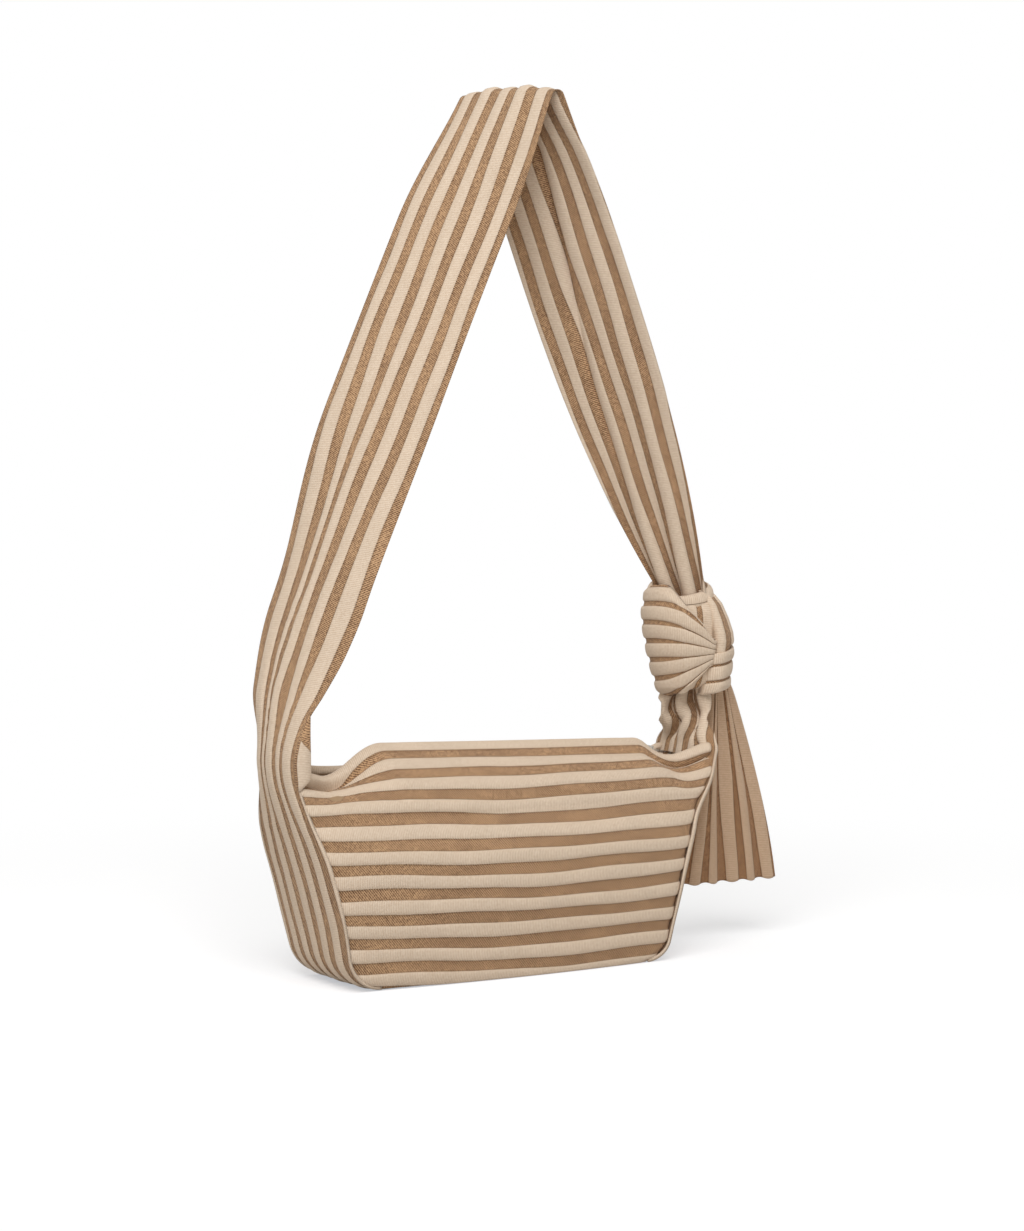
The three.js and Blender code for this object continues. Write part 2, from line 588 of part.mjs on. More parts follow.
// A wrapped layer of the knot between two angles, with its half height at each share of the way
function knotLayer(fromAngle, toAngle, halfHeight) {
  const rows = Array.from({ length: KNOT_ROWS + 1 }, (_, i) => {
    const rise = (2 * i) / KNOT_ROWS - 1;
    return Array.from({ length: KNOT_COLUMNS + 1 }, (__, j) => {
      const angle = mix(fromAngle, toAngle, j / KNOT_COLUMNS);
      const radius = KNOT_RADIUS * (1 - KNOT_ROUND * rise ** 4);
      const point = knotDirection(angle).multiplyScalar(radius);
      return point.add(new THREE.Vector3(KNOT_X, 0, KNOT_Z + rise * halfHeight(angle)));
    });
  });
  return sheet(rows, WRAP_THICKNESS, level);
}

// The broad wrap across the knot's front, which fans out from the pinch
function knotWrap() {
  const halfHeight = (angle) => {
    const near = Math.max(0, (angle - PINCH_ANGLE) / FAN_ANGLE + 1);
    const fan = Math.sqrt(Math.max(0, 1 - near ** 2));
    return mix(PINCH_HALF_HEIGHT, KNOT_HALF_HEIGHT, fan);
  };
  return knotLayer(BACK_OVERLAP_ANGLE, PINCH_ANGLE, halfHeight);
}

// The loop that closes the knot's right side and back
function knotLoop() {
  const from = PINCH_ANGLE + LOOP_GAP_ANGLE;
  const to = BACK_OVERLAP_ANGLE + 360 - LOOP_GAP_ANGLE;
  return knotLayer(from, to, () => LOOP_HALF_HEIGHT);
}

// The bunched fabric inside the knot
function knotCore() {
  const profile = [new THREE.Vector2(0, -CORE_HALF_HEIGHT)];
  for (let i = 0; i <= CORE_ROUNDS; i += 1) {
    const rise = (2 * i) / CORE_ROUNDS - 1;
    const radius = CORE_RADIUS * (1 - CORE_ROUND * rise ** 2);
    profile.push(new THREE.Vector2(radius, rise * CORE_HALF_HEIGHT));
  }
  profile.push(new THREE.Vector2(0, CORE_HALF_HEIGHT));
  const geometry = new THREE.LatheGeometry(profile, CORE_SIDES).rotateX(Math.PI / 2);
  return geometry.translate(KNOT_X, 0, KNOT_Z);
}

// The short end of the strap, from the right side band up into the knot, gathered in folds
function shortStrap() {
  const low = BAG_HEIGHT + SEAM_GAP;
  const high = KNOT_Z - CORE_HALF_HEIGHT - SEAM_GAP;
  const rows = Array.from({ length: SHORT_ROWS + 1 }, (_, i) => {
    const share = i / SHORT_ROWS;
    const half = mix(TOP_DEPTH, SHORT_TOP_WIDTH, smooth(share)) / 2;
    return Array.from({ length: SHORT_COLUMNS + 1 }, (__, j) => {
      const across = (2 * j) / SHORT_COLUMNS - 1;
      const fold = SHORT_FOLD * smooth(2 * share) * Math.sin(GATHERS * Math.PI * across);
      return new THREE.Vector3(mix(TOP_HALF, KNOT_X, share) + fold, across * half, mix(low, high, share));
    });
  });
  return sheet(rows, STRAP_THICKNESS, level);
}

// The strap's loose end, pinched under the knot and spreading in folds to its hem
function tail() {
  const top = new THREE.Vector3(KNOT_X + TAIL_TOP_X, TAIL_TOP_Y, KNOT_Z - CORE_HALF_HEIGHT - TAIL_PLAY);
  const hem = new THREE.Vector3(KNOT_X + TAIL_BOTTOM_X, TAIL_BOTTOM_Y, top.z - TAIL_LENGTH);
  const rows = Array.from({ length: TAIL_ROWS + 1 }, (_, i) => {
    const share = i / TAIL_ROWS;
    const rise = 1 - share;
    const half = mix(TAIL_TOP_WIDTH, TAIL_BOTTOM_WIDTH, Math.sin((rise * Math.PI) / 2)) / 2;
    const fold = TAIL_FOLD * Math.sin(Math.PI * Math.sqrt(rise) * TAIL_FLATTENING);
    return Array.from({ length: TAIL_COLUMNS + 1 }, (__, j) => {
      const across = (2 * j) / TAIL_COLUMNS - 1;
      const point = top.clone().lerp(hem, rise);
      point.x += across * half;
      point.y += fold * Math.cos(TAIL_FOLDS * Math.PI * across) - TAIL_THICKNESS / 2;
      return point;
    });
  });
  return sheet(rows, TAIL_THICKNESS, level);
}

// Finishes
const knit = new THREE.MeshStandardMaterial({ color: 0xcbb291, roughness: 0.9, metalness: 0 });
const liningCloth = new THREE.MeshStandardMaterial({ color: 0xb9a482, roughness: 0.85, metalness: 0 });
const tapeCloth = new THREE.MeshStandardMaterial({ color: 0xb39772, roughness: 0.85, metalness: 0 });
const nickel = new THREE.MeshStandardMaterial({ color: 0xc9c8c4, roughness: 0.3, metalness: 1 });

const bag = new THREE.Group();

function add(parent, name, geometry, material, turn = 0) {
  const mesh = new THREE.Mesh(geometry, material.clone());
  mesh.name = name;
  mesh.rotation.z = turn;
  parent.add(mesh);
  return mesh;
}

// Body: the back and right pieces are the front and left ones turned half round
add(bag, 'front_panel', panel(), knit);
add(bag, 'back_panel', panel(), knit, Math.PI);
add(bag, 'left_gusset', gusset(), knit);
add(bag, 'right_gusset', gusset(), knit, Math.PI);
add(bag, 'base_panel', base(), knit);
add(bag, 'lining_front', panelLining(), liningCloth);
add(bag, 'lining_back', panelLining(), liningCloth, Math.PI);
add(bag, 'lining_band', bandLining(), liningCloth);

// Zip
add(bag, 'zip_tape_front', zipTape(), tapeCloth);
add(bag, 'zip_tape_back', zipTape(), tapeCloth, Math.PI);
add(bag, 'zip_teeth_front', zipTeeth(), nickel);
add(bag, 'zip_teeth_back', zipTeeth(), nickel, Math.PI);
const stopX = TEETH_HALF + SEAM_GAP + STOP_LENGTH / 2;
const stopTilt = Math.asin(stopX / ZIP_RADIUS);
const stopDepth = TEETH_SLIT / 2 + TOOTH_LENGTH;
const bottomShape = new THREE.BoxGeometry(STOP_LENGTH, 2 * stopDepth, TOOTH_HEIGHT);
const bottomStop = add(bag, 'zip_bottom_stop', bottomShape, nickel);
bottomStop.position.set(-stopX, 0, zipHeight(stopX));
bottomStop.rotation.y = -stopTilt;
for (const [name, side] of [['zip_top_stop_front', -1], ['zip_top_stop_back', 1]]) {
  const stop = add(bag, name, new THREE.BoxGeometry(STOP_LENGTH, TOOTH_LENGTH, TOOTH_HEIGHT), nickel);
  stop.position.set(stopX, side * (stopDepth - TOOTH_LENGTH / 2), zipHeight(stopX));
  stop.rotation.y = stopTilt;
}
const sliderGroup = new THREE.Group();
sliderGroup.position.set(SLIDER_X, 0, zipHeight(SLIDER_X));
sliderGroup.rotation.y = Math.asin(SLIDER_X / ZIP_RADIUS);
bag.add(sliderGroup);
add(sliderGroup, 'zip_slider', slider(), nickel);
add(sliderGroup, 'zip_puller', puller(), nickel).position.z = PIVOT_HEIGHT;

// Strap, knot and tail
const stations = strapStations();
const rootEnd = stations.findIndex((station) => station.height > ROOT_LENGTH);
const rows = strapRows(stations);
add(bag, 'left_strap_root', sheet(rows.slice(0, rootEnd + 1), STRAP_THICKNESS, levelStart), knit);
const seam = rows[rootEnd].map((point, j) => {
  const next = rows[rootEnd + 1][j];
  return point.clone().addScaledVector(next.clone().sub(point).normalize(), SEAM_GAP);
});
add(bag, 'long_strap', sheet([seam, ...rows.slice(rootEnd + 1)], STRAP_THICKNESS, square), knit);
add(bag, 'short_strap', shortStrap(), knit);
add(bag, 'knot_core', knotCore(), knit);
add(bag, 'knot_wrap', knotWrap(), knit);
add(bag, 'knot_loop', knotLoop(), knit);
add(bag, 'tail', tail(), knit);

export default bag;
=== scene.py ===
import math

import bpy
import numpy as np
from mathutils import Euler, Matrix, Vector

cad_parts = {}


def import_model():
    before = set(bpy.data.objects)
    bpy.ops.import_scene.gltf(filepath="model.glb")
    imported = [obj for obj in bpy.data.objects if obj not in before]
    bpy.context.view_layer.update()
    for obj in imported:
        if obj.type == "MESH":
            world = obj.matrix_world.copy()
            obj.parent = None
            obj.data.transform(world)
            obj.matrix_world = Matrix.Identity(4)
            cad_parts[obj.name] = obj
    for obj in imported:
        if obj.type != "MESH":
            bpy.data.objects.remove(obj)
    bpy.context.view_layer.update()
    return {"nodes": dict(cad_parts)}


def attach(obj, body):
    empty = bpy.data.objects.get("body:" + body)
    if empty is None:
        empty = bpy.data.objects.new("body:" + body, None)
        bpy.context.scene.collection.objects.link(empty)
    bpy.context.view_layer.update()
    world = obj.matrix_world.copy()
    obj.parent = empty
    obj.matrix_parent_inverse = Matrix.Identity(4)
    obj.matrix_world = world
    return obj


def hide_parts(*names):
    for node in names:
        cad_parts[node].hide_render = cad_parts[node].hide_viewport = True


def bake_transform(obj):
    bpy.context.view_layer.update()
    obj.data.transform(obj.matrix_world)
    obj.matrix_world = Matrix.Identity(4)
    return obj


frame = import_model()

# Looks of a striped knit shoulder bag with a knotted strap. Sizes are in millimetres in the frame of the
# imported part: +X to the knot's end, front towards -Y, +Z up, origin at the middle of the base. A span is
# where a change starts and where it ends.
MM = 0.001
FULL_TURN = 2 * math.pi

# Camera of the photograph, in metres and degrees
CAMERA_PLACE = (-1.019, -1.721, 0.3516)
CAMERA_YAW = 31.12
CAMERA_PITCH = -4.20
CAMERA_LENS = 102.15
CAMERA_SENSOR = 36.0
CAMERA_FAR = 50.0

# Ribs of the knit: a pitch holds one raised cream rib and one tan band. A drift has its size in pitches,
# its length along the ribs, its turn from rib to rib and its start.
PITCH = 13.5
CREAM_SHARE = 0.53
TAN_MIDDLE = 0.5
RIB_HEIGHT = 1.2
RIB_EDGE = 0.03
RIB_CROWN = 0.4
RIB_ROWS = 14
RIB_DRIFTS = ((0.03, 29.0, 2.1, 0.0), (0.018, 11.0, -1.3, 1.0))

# Surfaces. Rib places are moved by half a pitch, and by whole ones that keep them positive. A pair of
# weights is for two patterns that are added. Four numbers are a range and the levels at its ends.
RIB_MOVE = 100.5
CREAM_EDGE = (-0.012, 0.02)
CREAM_PATCH = (0.3, 0.7, 0.97, 1.02)
CREAM_RANGE = (0.2, 0.8)
CREAM_WEIGHTS = (0.35, 0.65)
CREAM_BUMP_WEIGHTS = (0.3, 0.25)
# Painted shade: this range darkens the tan next to each raised cream rib, standing in for the shade the
# rib casts.
TAN_EDGE_PAINTED_SHADE = (0.0, 0.1, 0.7, 1.0)
TAN_RANGE = (-0.15, 0.85)
TAN_BUMP = (-0.7, 0.3)
LINE_PITCH = 1.05
HATCH_PITCH = 1.5
HATCH_SLANT = 0.9
HATCH_PATCH = (0.35, 0.65, 0.8, 1.1)
HATCH_WEIGHTS = (0.5, 0.5)
GRAIN_SCALE = 750.0
GRAIN_WEIGHT = 1.5
PATCH_SCALE = 38.0
KNIT_BUMP = 0.0004
WEAVE_BUMP = 0.0001
WEAVE_PATCH_SCALE = 120.0
WEAVE_WEIGHTS = (0.3, 0.5)
LINING_THREAD = 0.5
TAPE_THREAD = 0.7
WEAR_SCALE = 400.0
WEAR_ROUGHNESS = (0.3, 0.7, 0.16, 0.34)

# Colours: the lighter and the darker tone of each material in sRGB steps, and filters in linear light
CREAM_TONES = ((230, 213, 194), (208, 186, 163))
TAN_TONES = ((210, 171, 131), (108, 75, 50))
LINING_TONES = ((184, 156, 124), (150, 122, 92))
TAPE_TONES = ((176, 143, 108), (136, 106, 77))
NICKEL_TONES = ((214, 211, 204), (186, 182, 174))
# Painted shade: a warm darkening filter for pieces that carry a shade attribute.
WARM_PAINTED_SHADE = (0.82, 0.69, 0.58, 1.0)
WHITE = (1.0, 1.0, 1.0, 1.0)

# Body. Sizes in braces are for the left end, -1, and the right end, 1.
BAG_HEIGHT = 122.0
BASE_HALF = {-1: 104.4, 1: 106.5}
TOP_HALF = 140.0
FLARE_STRAIGHT = 0.5
CORNER_RADIUS = {-1: 24.0, 1: 15.0}
BASE_DEPTH = 68.0
MIDDLE_DEPTH = 76.0
TOP_DEPTH = 50.0
FULL_HEIGHT = 45.0
TAPER_HEIGHT = 70.0
UNDER_DEPTH = 2.0
UNDER_HEIGHT = 10.0
PANEL_BULGE = 6.0
PANEL_SWELL_LEAST = 0.7
PANEL_INSET = 1.4
PANEL_FOOT = 0.3
PANEL_CORE = 0.9
PANEL_COLUMNS = 181
PANEL_PITCH = 13.95
SEAM_SINK = 2.0
SEAM_WIDTH = 3.5
GUSSET_BULGE = 2.5
BASE_GAP = 0.3
BASE_CORE = 1.2
BASE_GRID = (60, 70)
LINING_INSET = 4.5
LINING_GAP = 1.7
LINING_BELOW_RIM = 22.0
LINING_TOP = 100.0
LINING_THICKNESS = 0.5
LINING_STEP = 6.0
LINING_COLUMNS = 15
LINING_MARGIN = 3

# Zip
ZIP_TOP = 129.0
ZIP_HALF = 125.0
ZIP_RISE = 14.0
ZIP_RADIUS = (ZIP_HALF**2 + ZIP_RISE**2) / (2 * ZIP_RISE)
ZIP_DIP = 4.5
ZIP_DIP_SPAN = (74.0, 100.0)
TAPE_EDGES = (2.9, 9.1)
TAPE_THICKNESS = 0.8
TAPE_DROOP = 0.02
TAPE_GRID = (101, 7)
TOOTH_PITCH = 2.5
TOOTH_HALF = (0.75, 1.05, 1.1)
TOOTH_Y = 1.55
TEETH_HALF = 117.0
STOP_HALF = (1.5, 2.6, 1.1)
STOP_GAP = 1.8
BEVEL_SIDE = 0.5
BEVEL_END = 0.6

# Root of the strap, where the side bands' edges draw in
ROOT_CUP = 5.5
ROOT_CUP_SPAN = (88.0, 124.0)
ROOT_FRONT_CUP = 0.65
MOUTH_HALF = TOP_HALF - ROOT_CUP

# Mouth: the rim's lean and half width in the middle and at the ends, its heights, and its valleys (side,
# start, lowest place, lowest height, height at the end). Pairs named AT and BELOW are a soft hump's middle
# and width, BELOW counted down from the rim.
SHOULDER_HEIGHT = 96.0
SHOULDER_HANDLES = (0.4, 0.35)
SHOULDER_STEPS = 60
RIM_LEAN = (50.0, 12.0)
RIM_HALF = (9.0, 22.0)
RIM_MIDDLE = 132.6
RIM_SLOPE = -0.042
FRONT_VALLEYS = ((-1, 68.0, 110.0, 118.3, 124.2), (1, 94.0, 118.0, 116.9, 122.9))
BACK_VALLEYS = ((-1, 48.0, 90.0, 121.5, 124.0), (1, 94.0, 118.0, 115.5, 119.5))
BACK_RIM_DROP = 1.5
RIGHT_FLARE = 8.5
RIGHT_FLARE_SPAN = (80.0, 112.0)
RIGHT_FLARE_END = (122.0, 142.0)
RIM_OPEN_FROM = 104.0
RIM_INSET = 1.8
RIM_INSET_SPAN = (112.0, 120.0)
ROLL_RADIUS = 2.6
ROLL_TURN = 150.0
ROLL_STEPS = 10
FACING_STEPS = 5
FACING_STEP = 2.5
FACING_LAP = 1.0
FACING_END = (106.0, 126.0)
TOP_RIB_BELOW_RIM = 0.8
RIM_STRETCH = 0.3
RIM_OVERHANG = 2.2
RIM_OVERHANG_BELOW = (3.0, 5.0)
TUCK_BELOW = (13.0, 8.0)
TUCK_NARROW = 0.6
TUCK_DEPTH = 4.0
TUCK_MOST = 0.95
VALLEY_CREASE = 6.0
VALLEY_CREASE_AT = (-112.0, 17.0)
VALLEY_CREASE_BELOW = (8.0, 2.6)
VALLEY_SHARE = 0.95
VALLEY_SHARE_SPREAD = 1.4
VALLEY_SHARE_END = (10.0, 16.0)
ROW_SINK = (-4.5, 2.1)
ROW_SINK_SPAN = (-130.0, 35.0)
ROW_SINK_DEPTH = 40.0
ROW_DRIFT_DEPTH = 20.0
ROW_DRIFT_APART = 40.0

# Strap. Pairs are spans of height, except the tuck's places in shares of the half width, the crease's
# places in pitches, and the crease's end in shares of the right leg.
STRAP_WIDTH = 70.0
STRAP_RISE = 385.0
STRAP_CORE = 1.6
STRAP_STEP = 3.2
STRAP_SINK = 14.0
BAND_COLUMNS = 85
CORNER_STEPS = 12
SIDE_STEPS = 40
LEG_STEPS = 200
APEX_STEPS = 24
APEX_X = 19.3
APEX_RADIUS = 6.5
APEX_TURN = 18.0
APEX_SPAN = 85.0
LEFT_LEAN = 25.3
LEFT_HANDLE = 185.0
RIGHT_LEAN = 19.6
RIGHT_HANDLE = 100.0
ENTRY_LEAN = 22.2
ENTRY_HANDLE = 100.0
ROOT_LEAN = 11.0
ROOT_HANDLE = 25.0
ROOT_EASE = 14.0
ROOT_EASE_SPAN = 45.0
ROOT_TURN = 21.0
ROOT_TURN_SPAN = (132.0, 170.0)
ROOT_WIDTH_SPAN = (140.0, 215.0)
ROOT_FRONT_FADE = (135.0, 160.0)
ROOT_FRONT_SPAN = (150.0, 190.0)
ROOT_FOLD = 0.3
ROOT_PLEAT = 0.45
ROOT_SHARE = 0.55
SLACK_FROM = 0.97
SLACK_RANGE = 0.25
CURL_X = -124.7
CURL_SPAN = (112.0, 160.0)
CURL_FADE = (112.0, 121.0)
CURL_LEAST = 0.6
CURL_ROUND = 0.3
CURL_TURN = 210.0
CURL_COLUMNS = 17
CURL_CORE = 0.4
CURL_RIB = 0.4
CURL_RIB_GAIN = 0.05
CURL_TAN_SPAN = (136.0, 150.0)
CURL_TAN_SLANT = 3.0
CURL_TAN_EDGE = 0.6
LEG_TURN = 40.0
LEG_TURN_SPAN = (225.0, 330.0)
LEG_CUP = 2.5
LEG_CUP_SPAN = (235.0, 320.0)
LEG_RIPPLE = 0.5
LEG_RIPPLE_LENGTH = 60.0
LEG_TUCK = 0.42
LEG_TUCK_START = (130.0, 175.0)
LEG_TUCK_END = (200.0, 370.0)
LEG_TUCK_AT = (0.45, 0.26)
LEG_TUCK_SHIFT = (180.0, 236.0)
LEG_TUCK_HALF = 0.21
LEG_TUCK_DEPTH = 1.2
RIGHT_DRIFT = 0.36
RIGHT_SLIM = 0.04
DRIFT_SHARE = 0.12
CREASE_DEPTH = 4.0
CREASE_WIDTH = 0.24
CREASE_AT = (0.1, 1.2)
CREASE_START = 0.1
CREASE_END = (0.6, 0.9)
GATHER_LENGTH = 205.0
GATHER_WIDTH = 31.5
GATHER_POWER = 2.3
GATHER_FOLD = 5.0
GATHER_FOLD_SINK = 0.2
GATHER_SHARE = 0.68
GATHER_DRIFT = -0.12

# Short strap. A wave has its size, its length upwards and its lag across the band.
SHORT_BEND = (-1.0, 14.0)
SHORT_SINK = 16.0
SHORT_STEP = 0.6 * STRAP_STEP
SHORT_TOP_WIDTH = 29.0
SHORT_TURN = 45.0
SHORT_TURN_FROM = 5.0
SHORT_RISE = 17.0
SHORT_FOLD = 3.6
SHORT_PLEAT = 0.35
SHORT_SHARE = 0.6
SHORT_WAVES = ((1.5, 6.5, 1.5), (0.4, 3.4, 0.0))
SHORT_SWAY = 0.24

# Heights between which the side bands turn into the strap, in metres
LEFT_BLEND_END = 0.168
RIGHT_BLEND_END = 0.150

# Knot. Heights are over its middle, angles anticlockwise from its front, and stripes are rib places. A
# profile gives a layer's radii at heights. A dive has its depth and the angle that it takes.
KNOT_X = 142.0
KNOT_Z = 184.8
KNOT_FACING = -121.0
KNOT_RADIUS = 27.0
KNOT_ENTRY = (-3.0, 28.1)
KNOT_PITCH = 11.3
KNOT_PITCH_MOST = 2.0
KNOT_PITCH_FULL = 8.0
KNOT_RIB = 1.5
KNOT_RIB_LEAST = 0.15
KNOT_RIB_EDGE = 0.06
KNOT_LOOK_DOWN = 2.2
KNOT_SHARE = 0.71
KNOT_SHARE_MOST = 0.9
KNOT_LAYER = 5.0
KNOT_EDGE = 1.8
KNOT_EDGE_SPAN = (0.86, 1.0)
KNOT_ROWS = 110
WRAP_START = -205.0
WRAP_COLUMNS = 190
WRAP_MIDDLE = 4.9
WRAP_HIGH = (2.45, 1.62)
WRAP_HIGH_SPAN = (-0.75, 0.15)
WRAP_LOW = (-3.45, -4.05)
WRAP_LOW_SPAN = (-0.7, 0.1)
WRAP_PROFILE = ((-38, 15.2), (-34, 17.0), (-27, 19.8), (-13, 23.6),
                (-3, 25.7), (10, 27.8), (19, 28.0), (33, 25.4))
FAN_START = -0.93
FAN_REACH = 1.5
FAN_POWER = 1.9
FAN_POWER_GAIN = 0.8
FAN_GAIN_FROM = 0.6
PINCH_ANGLE = 50.0
PINCH_RISE = -4.3
PINCH_PITCH = 3.0
PINCH_DIVE = (6.0, 16.0)
LOOP_ANGLES = (32.0, 178.0)
LOOP_COLUMNS = 120
LOOP_STRIPES = (-2.35, 0.45)
LOOP_MIDDLE = -10.5
LOOP_PITCH = 9.6
LOOP_CLIMB = 0.085
LOOP_CLIMB_SPAN = (45.0, 120.0)
LOOP_DIVE = (8.0, 22.0)
LOOP_TUCK = 6.0
LOOP_TUCK_SPAN = (135.0, 175.0)
LOOP_PROFILE = ((-34, 22.5), (-26, 26.0), (-8, 28.0), (2, 27.4), (10, 24.0))
FALL_ANGLES = (44.0, 172.0)
FALL_GRID = (70, 120)
FALL_FOOT = (-10.0, 0.0)
FALL_FOOT_SPAN = (44.0, 94.0)
FALL_TOP = 30.0
FALL_DIVE = (3.0, 10.0)
FALL_TUCK = 6.0
FALL_TUCK_SPAN = (130.0, 170.0)
FALL_FIRST_RIB = 47.0
FALL_RIB_ANGLE = 38.0
FALL_RIB = 1.4
FALL_CROWN = 0.5
FALL_SHARE = 0.48
FALL_PROFILE = ((-10, 26.5), (0, 27.8), (5, 27.2), (13, 24.6), (22, 20.6), (27, 16.5), (30, 12.5))
COLLAR_HALF = (16.5, 14.5)
COLLAR_SHIFT = -4.5
COLLAR_RISE = 27.5
COLLAR_TILT = 5.0
COLLAR_RADIUS = 3.3
COLLAR_SWELL = 0.4
COLLAR_SWELL_START = 0.5
COLLAR_OVAL = 1.5
COLLAR_ALONG = 16.0
COLLAR_RIB = 0.06
COLLAR_SHARE = 0.62
COLLAR_GRID = (120, 32)
CORE_RADIUS = 19.5
CORE_HALF = 28.5
CORE_DROP = 1.5
CORE_POWER = 6
CORE_RIBS = 9
CORE_RIPPLE = 0.05
CORE_SHARE = 0.7
CORE_GRID = (41, 73)

# Tail, from the knot to the hem
TAIL_LENGTH = 116.0
TAIL_WIDTH = (16.0, 69.0)
TAIL_SPREAD = 0.6
TAIL_TOP = (160.0, -8.0, 158.0)
TAIL_HEM = (180.0, 10.0, 35.4)
TAIL_FOLD = 2.0
TAIL_FOLD_RISE = 0.8
TAIL_FOLDS = 2.4
TAIL_FOLD_LAG = 0.6
TAIL_SCALLOP = 0.6
TAIL_SCALLOP_SPAN = (0.9, 1.0)
TAIL_WAIST = 0.3
TAIL_WAIST_START = 0.25
TAIL_STRIPES = 2.52
TAIL_SHIFT = -0.19
TAIL_CORE = 1.4
TAIL_SHARE_MOST = 0.75
# Painted shade on the tail: how strongly the warm painted shade filter darkens its knit.
TAIL_PAINTED_SHADE = 0.82
TAIL_GRID = (90, 91)

# Studio, in metres
FLOOR_HALF = 8.0
FLOOR_TONE = (0.7, 0.7, 0.7, 1.0)
FLOOR_LIFT = (0.45, 0.472, 0.505, 1.0)
FLOOR_FADE = (0.28, 0.75)
KEY_FROM = (-0.40, -0.56, 0.72)
KEY_AIM = (0.03, 0.0, 0.25)
KEY_DISTANCE = 2.5
KEY_SIZE = 1.8
KEY_POWER = 43.5
AMBIENT = (0.45, 0.415, 0.365, 1.0)


def mix(a, b, t):
    return a + (b - a) * t


def smooth(t):
    t = np.clip(t, 0, 1)
    return t * t * (3 - 2 * t)


def ramp(value, span):
    return smooth((value - span[0]) / (span[1] - span[0]))


def bump(value, middle, width):
    return np.exp(-(((value - middle) / width) ** 2))


def joined(*parts):
    """Points from their coordinates, which may be grids, lines or single numbers."""
    return np.stack(np.broadcast_arrays(*parts), -1)


# Form of the body

def side_half(z, side):
    share = z / BAG_HEIGHT
    flare = FLARE_STRAIGHT * share + (1 - FLARE_STRAIGHT) * share**2
    return BASE_HALF[side] + (TOP_HALF - BASE_HALF[side]) * flare


def side_slope(z, side):
    slope = FLARE_STRAIGHT + 2 * (1 - FLARE_STRAIGHT) * z / BAG_HEIGHT
    return (TOP_HALF - BASE_HALF[side]) * slope / BAG_HEIGHT


def foot_lean(side):
    """Lean of a side band where it leaves the rounded corner."""
    return math.atan(side_slope(0, side))


def corner_x(side):
    """Where the flat base ends and the rounded corner starts."""
    radius, lean = CORNER_RADIUS[side], foot_lean(side)
    return side_half(radius * (1 - math.sin(lean)), side) - radius * math.cos(lean)


def half_width(z, inset, side):
    """Half width of the body's outline at heights z, set in from a side band's outer face."""
    middle = CORNER_RADIUS[side]
    radius = middle - inset
    inside = np.maximum(0, radius**2 - (middle - np.minimum(z, middle)) ** 2)
    corner = corner_x(side) + np.sqrt(inside)
    above = side_half(z, side) - inset * np.hypot(1, side_slope(z, side))
    return np.where(z < middle - radius * math.sin(foot_lean(side)), corner, above)


def band_depth(z):
    """Half depth of the side bands at heights z, drawn in a little at the base."""
    rise = smooth(z / FULL_HEIGHT)
    fall = ramp(z, (TAPER_HEIGHT, BAG_HEIGHT))
    depth = (BASE_DEPTH + (MIDDLE_DEPTH - BASE_DEPTH) * rise - (MIDDLE_DEPTH - TOP_DEPTH) * fall) / 2
    return depth - UNDER_DEPTH * np.clip(1 - z / UNDER_HEIGHT, 0, 1) ** 2


def root_cup(z):
    """How far the side bands' edges draw in towards the strap's root, against their middle."""
    return ROOT_CUP * ramp(z, ROOT_CUP_SPAN)


def zip_height(x):
    arch = np.sqrt(ZIP_RADIUS**2 - np.minimum(np.abs(x), ZIP_HALF) ** 2)
    return ZIP_TOP - ZIP_RADIUS + arch - ZIP_DIP * ramp(-x, ZIP_DIP_SPAN)


# Meshes from grids of points

def grid_normals(grid):
    """Unit normals of a grid, on the side from which its columns turn anticlockwise into its rows."""
    normal = np.cross(np.gradient(grid, axis=1), np.gradient(grid, axis=0))
    return normal / np.maximum(np.linalg.norm(normal, axis=-1, keepdims=True), 1e-9)


def grid_faces(rows, columns, first=0):
    corner = first + np.arange(rows - 1)[:, None] * columns + np.arange(columns - 1)
    return np.stack([corner, corner + 1, corner + columns + 1, corner + columns], -1).reshape(-1, 4)


def linked(name, data):
    """A new object in the scene."""
    made = bpy.data.objects.new(name, data)
    bpy.context.scene.collection.objects.link(made)
    return made


def mesh_piece(name, points, faces, material, places=None, rounded=True):
    """A mesh of points in millimetres. Places are the points' places in the ribs: along them, across them
    in pitches, and the cream share of a pitch there."""
    mesh = bpy.data.meshes.new(name)
    mesh.from_pydata((points.reshape(-1, 3) * MM).tolist(), [], faces)
    if places is not None:
        attribute = mesh.attributes.new("knit", "FLOAT_VECTOR", "POINT")
        attribute.data.foreach_set("vector", places.astype(np.float32).ravel())
    mesh.polygons.foreach_set("use_smooth", np.full(len(mesh.polygons), rounded))
    mesh.materials.append(material)
    mesh.update()
    return linked(name, mesh)


def shell(name, outer, inner, material, places=None):
    """A closed piece between an outer and an inner grid of points."""
    rows, columns = outer.shape[:2]
    behind = rows * columns
    front = grid_faces(rows, columns)
    back = grid_faces(rows, columns, behind)[:, ::-1]
    start = np.arange(columns)
    left = np.arange(rows) * columns
    rims = [start, (start + (rows - 1) * columns)[::-1], left[::-1], left + columns - 1]
    sides = [np.stack([r[:-1], r[:-1] + behind, r[1:] + behind, r[1:]], -1) for r in rims]
    faces = np.concatenate([front, back, *sides]).tolist()
    both = None if places is None else np.stack([places, places])
    return mesh_piece(name, np.stack([outer, inner]), faces, material, both)


def wobble(along, stripe):
    """Slow drift of the ribs to either side, in pitches."""
    return sum(size * np.sin(along / length + turn * stripe + start)
               for size, length, turn, start in RIB_DRIFTS)


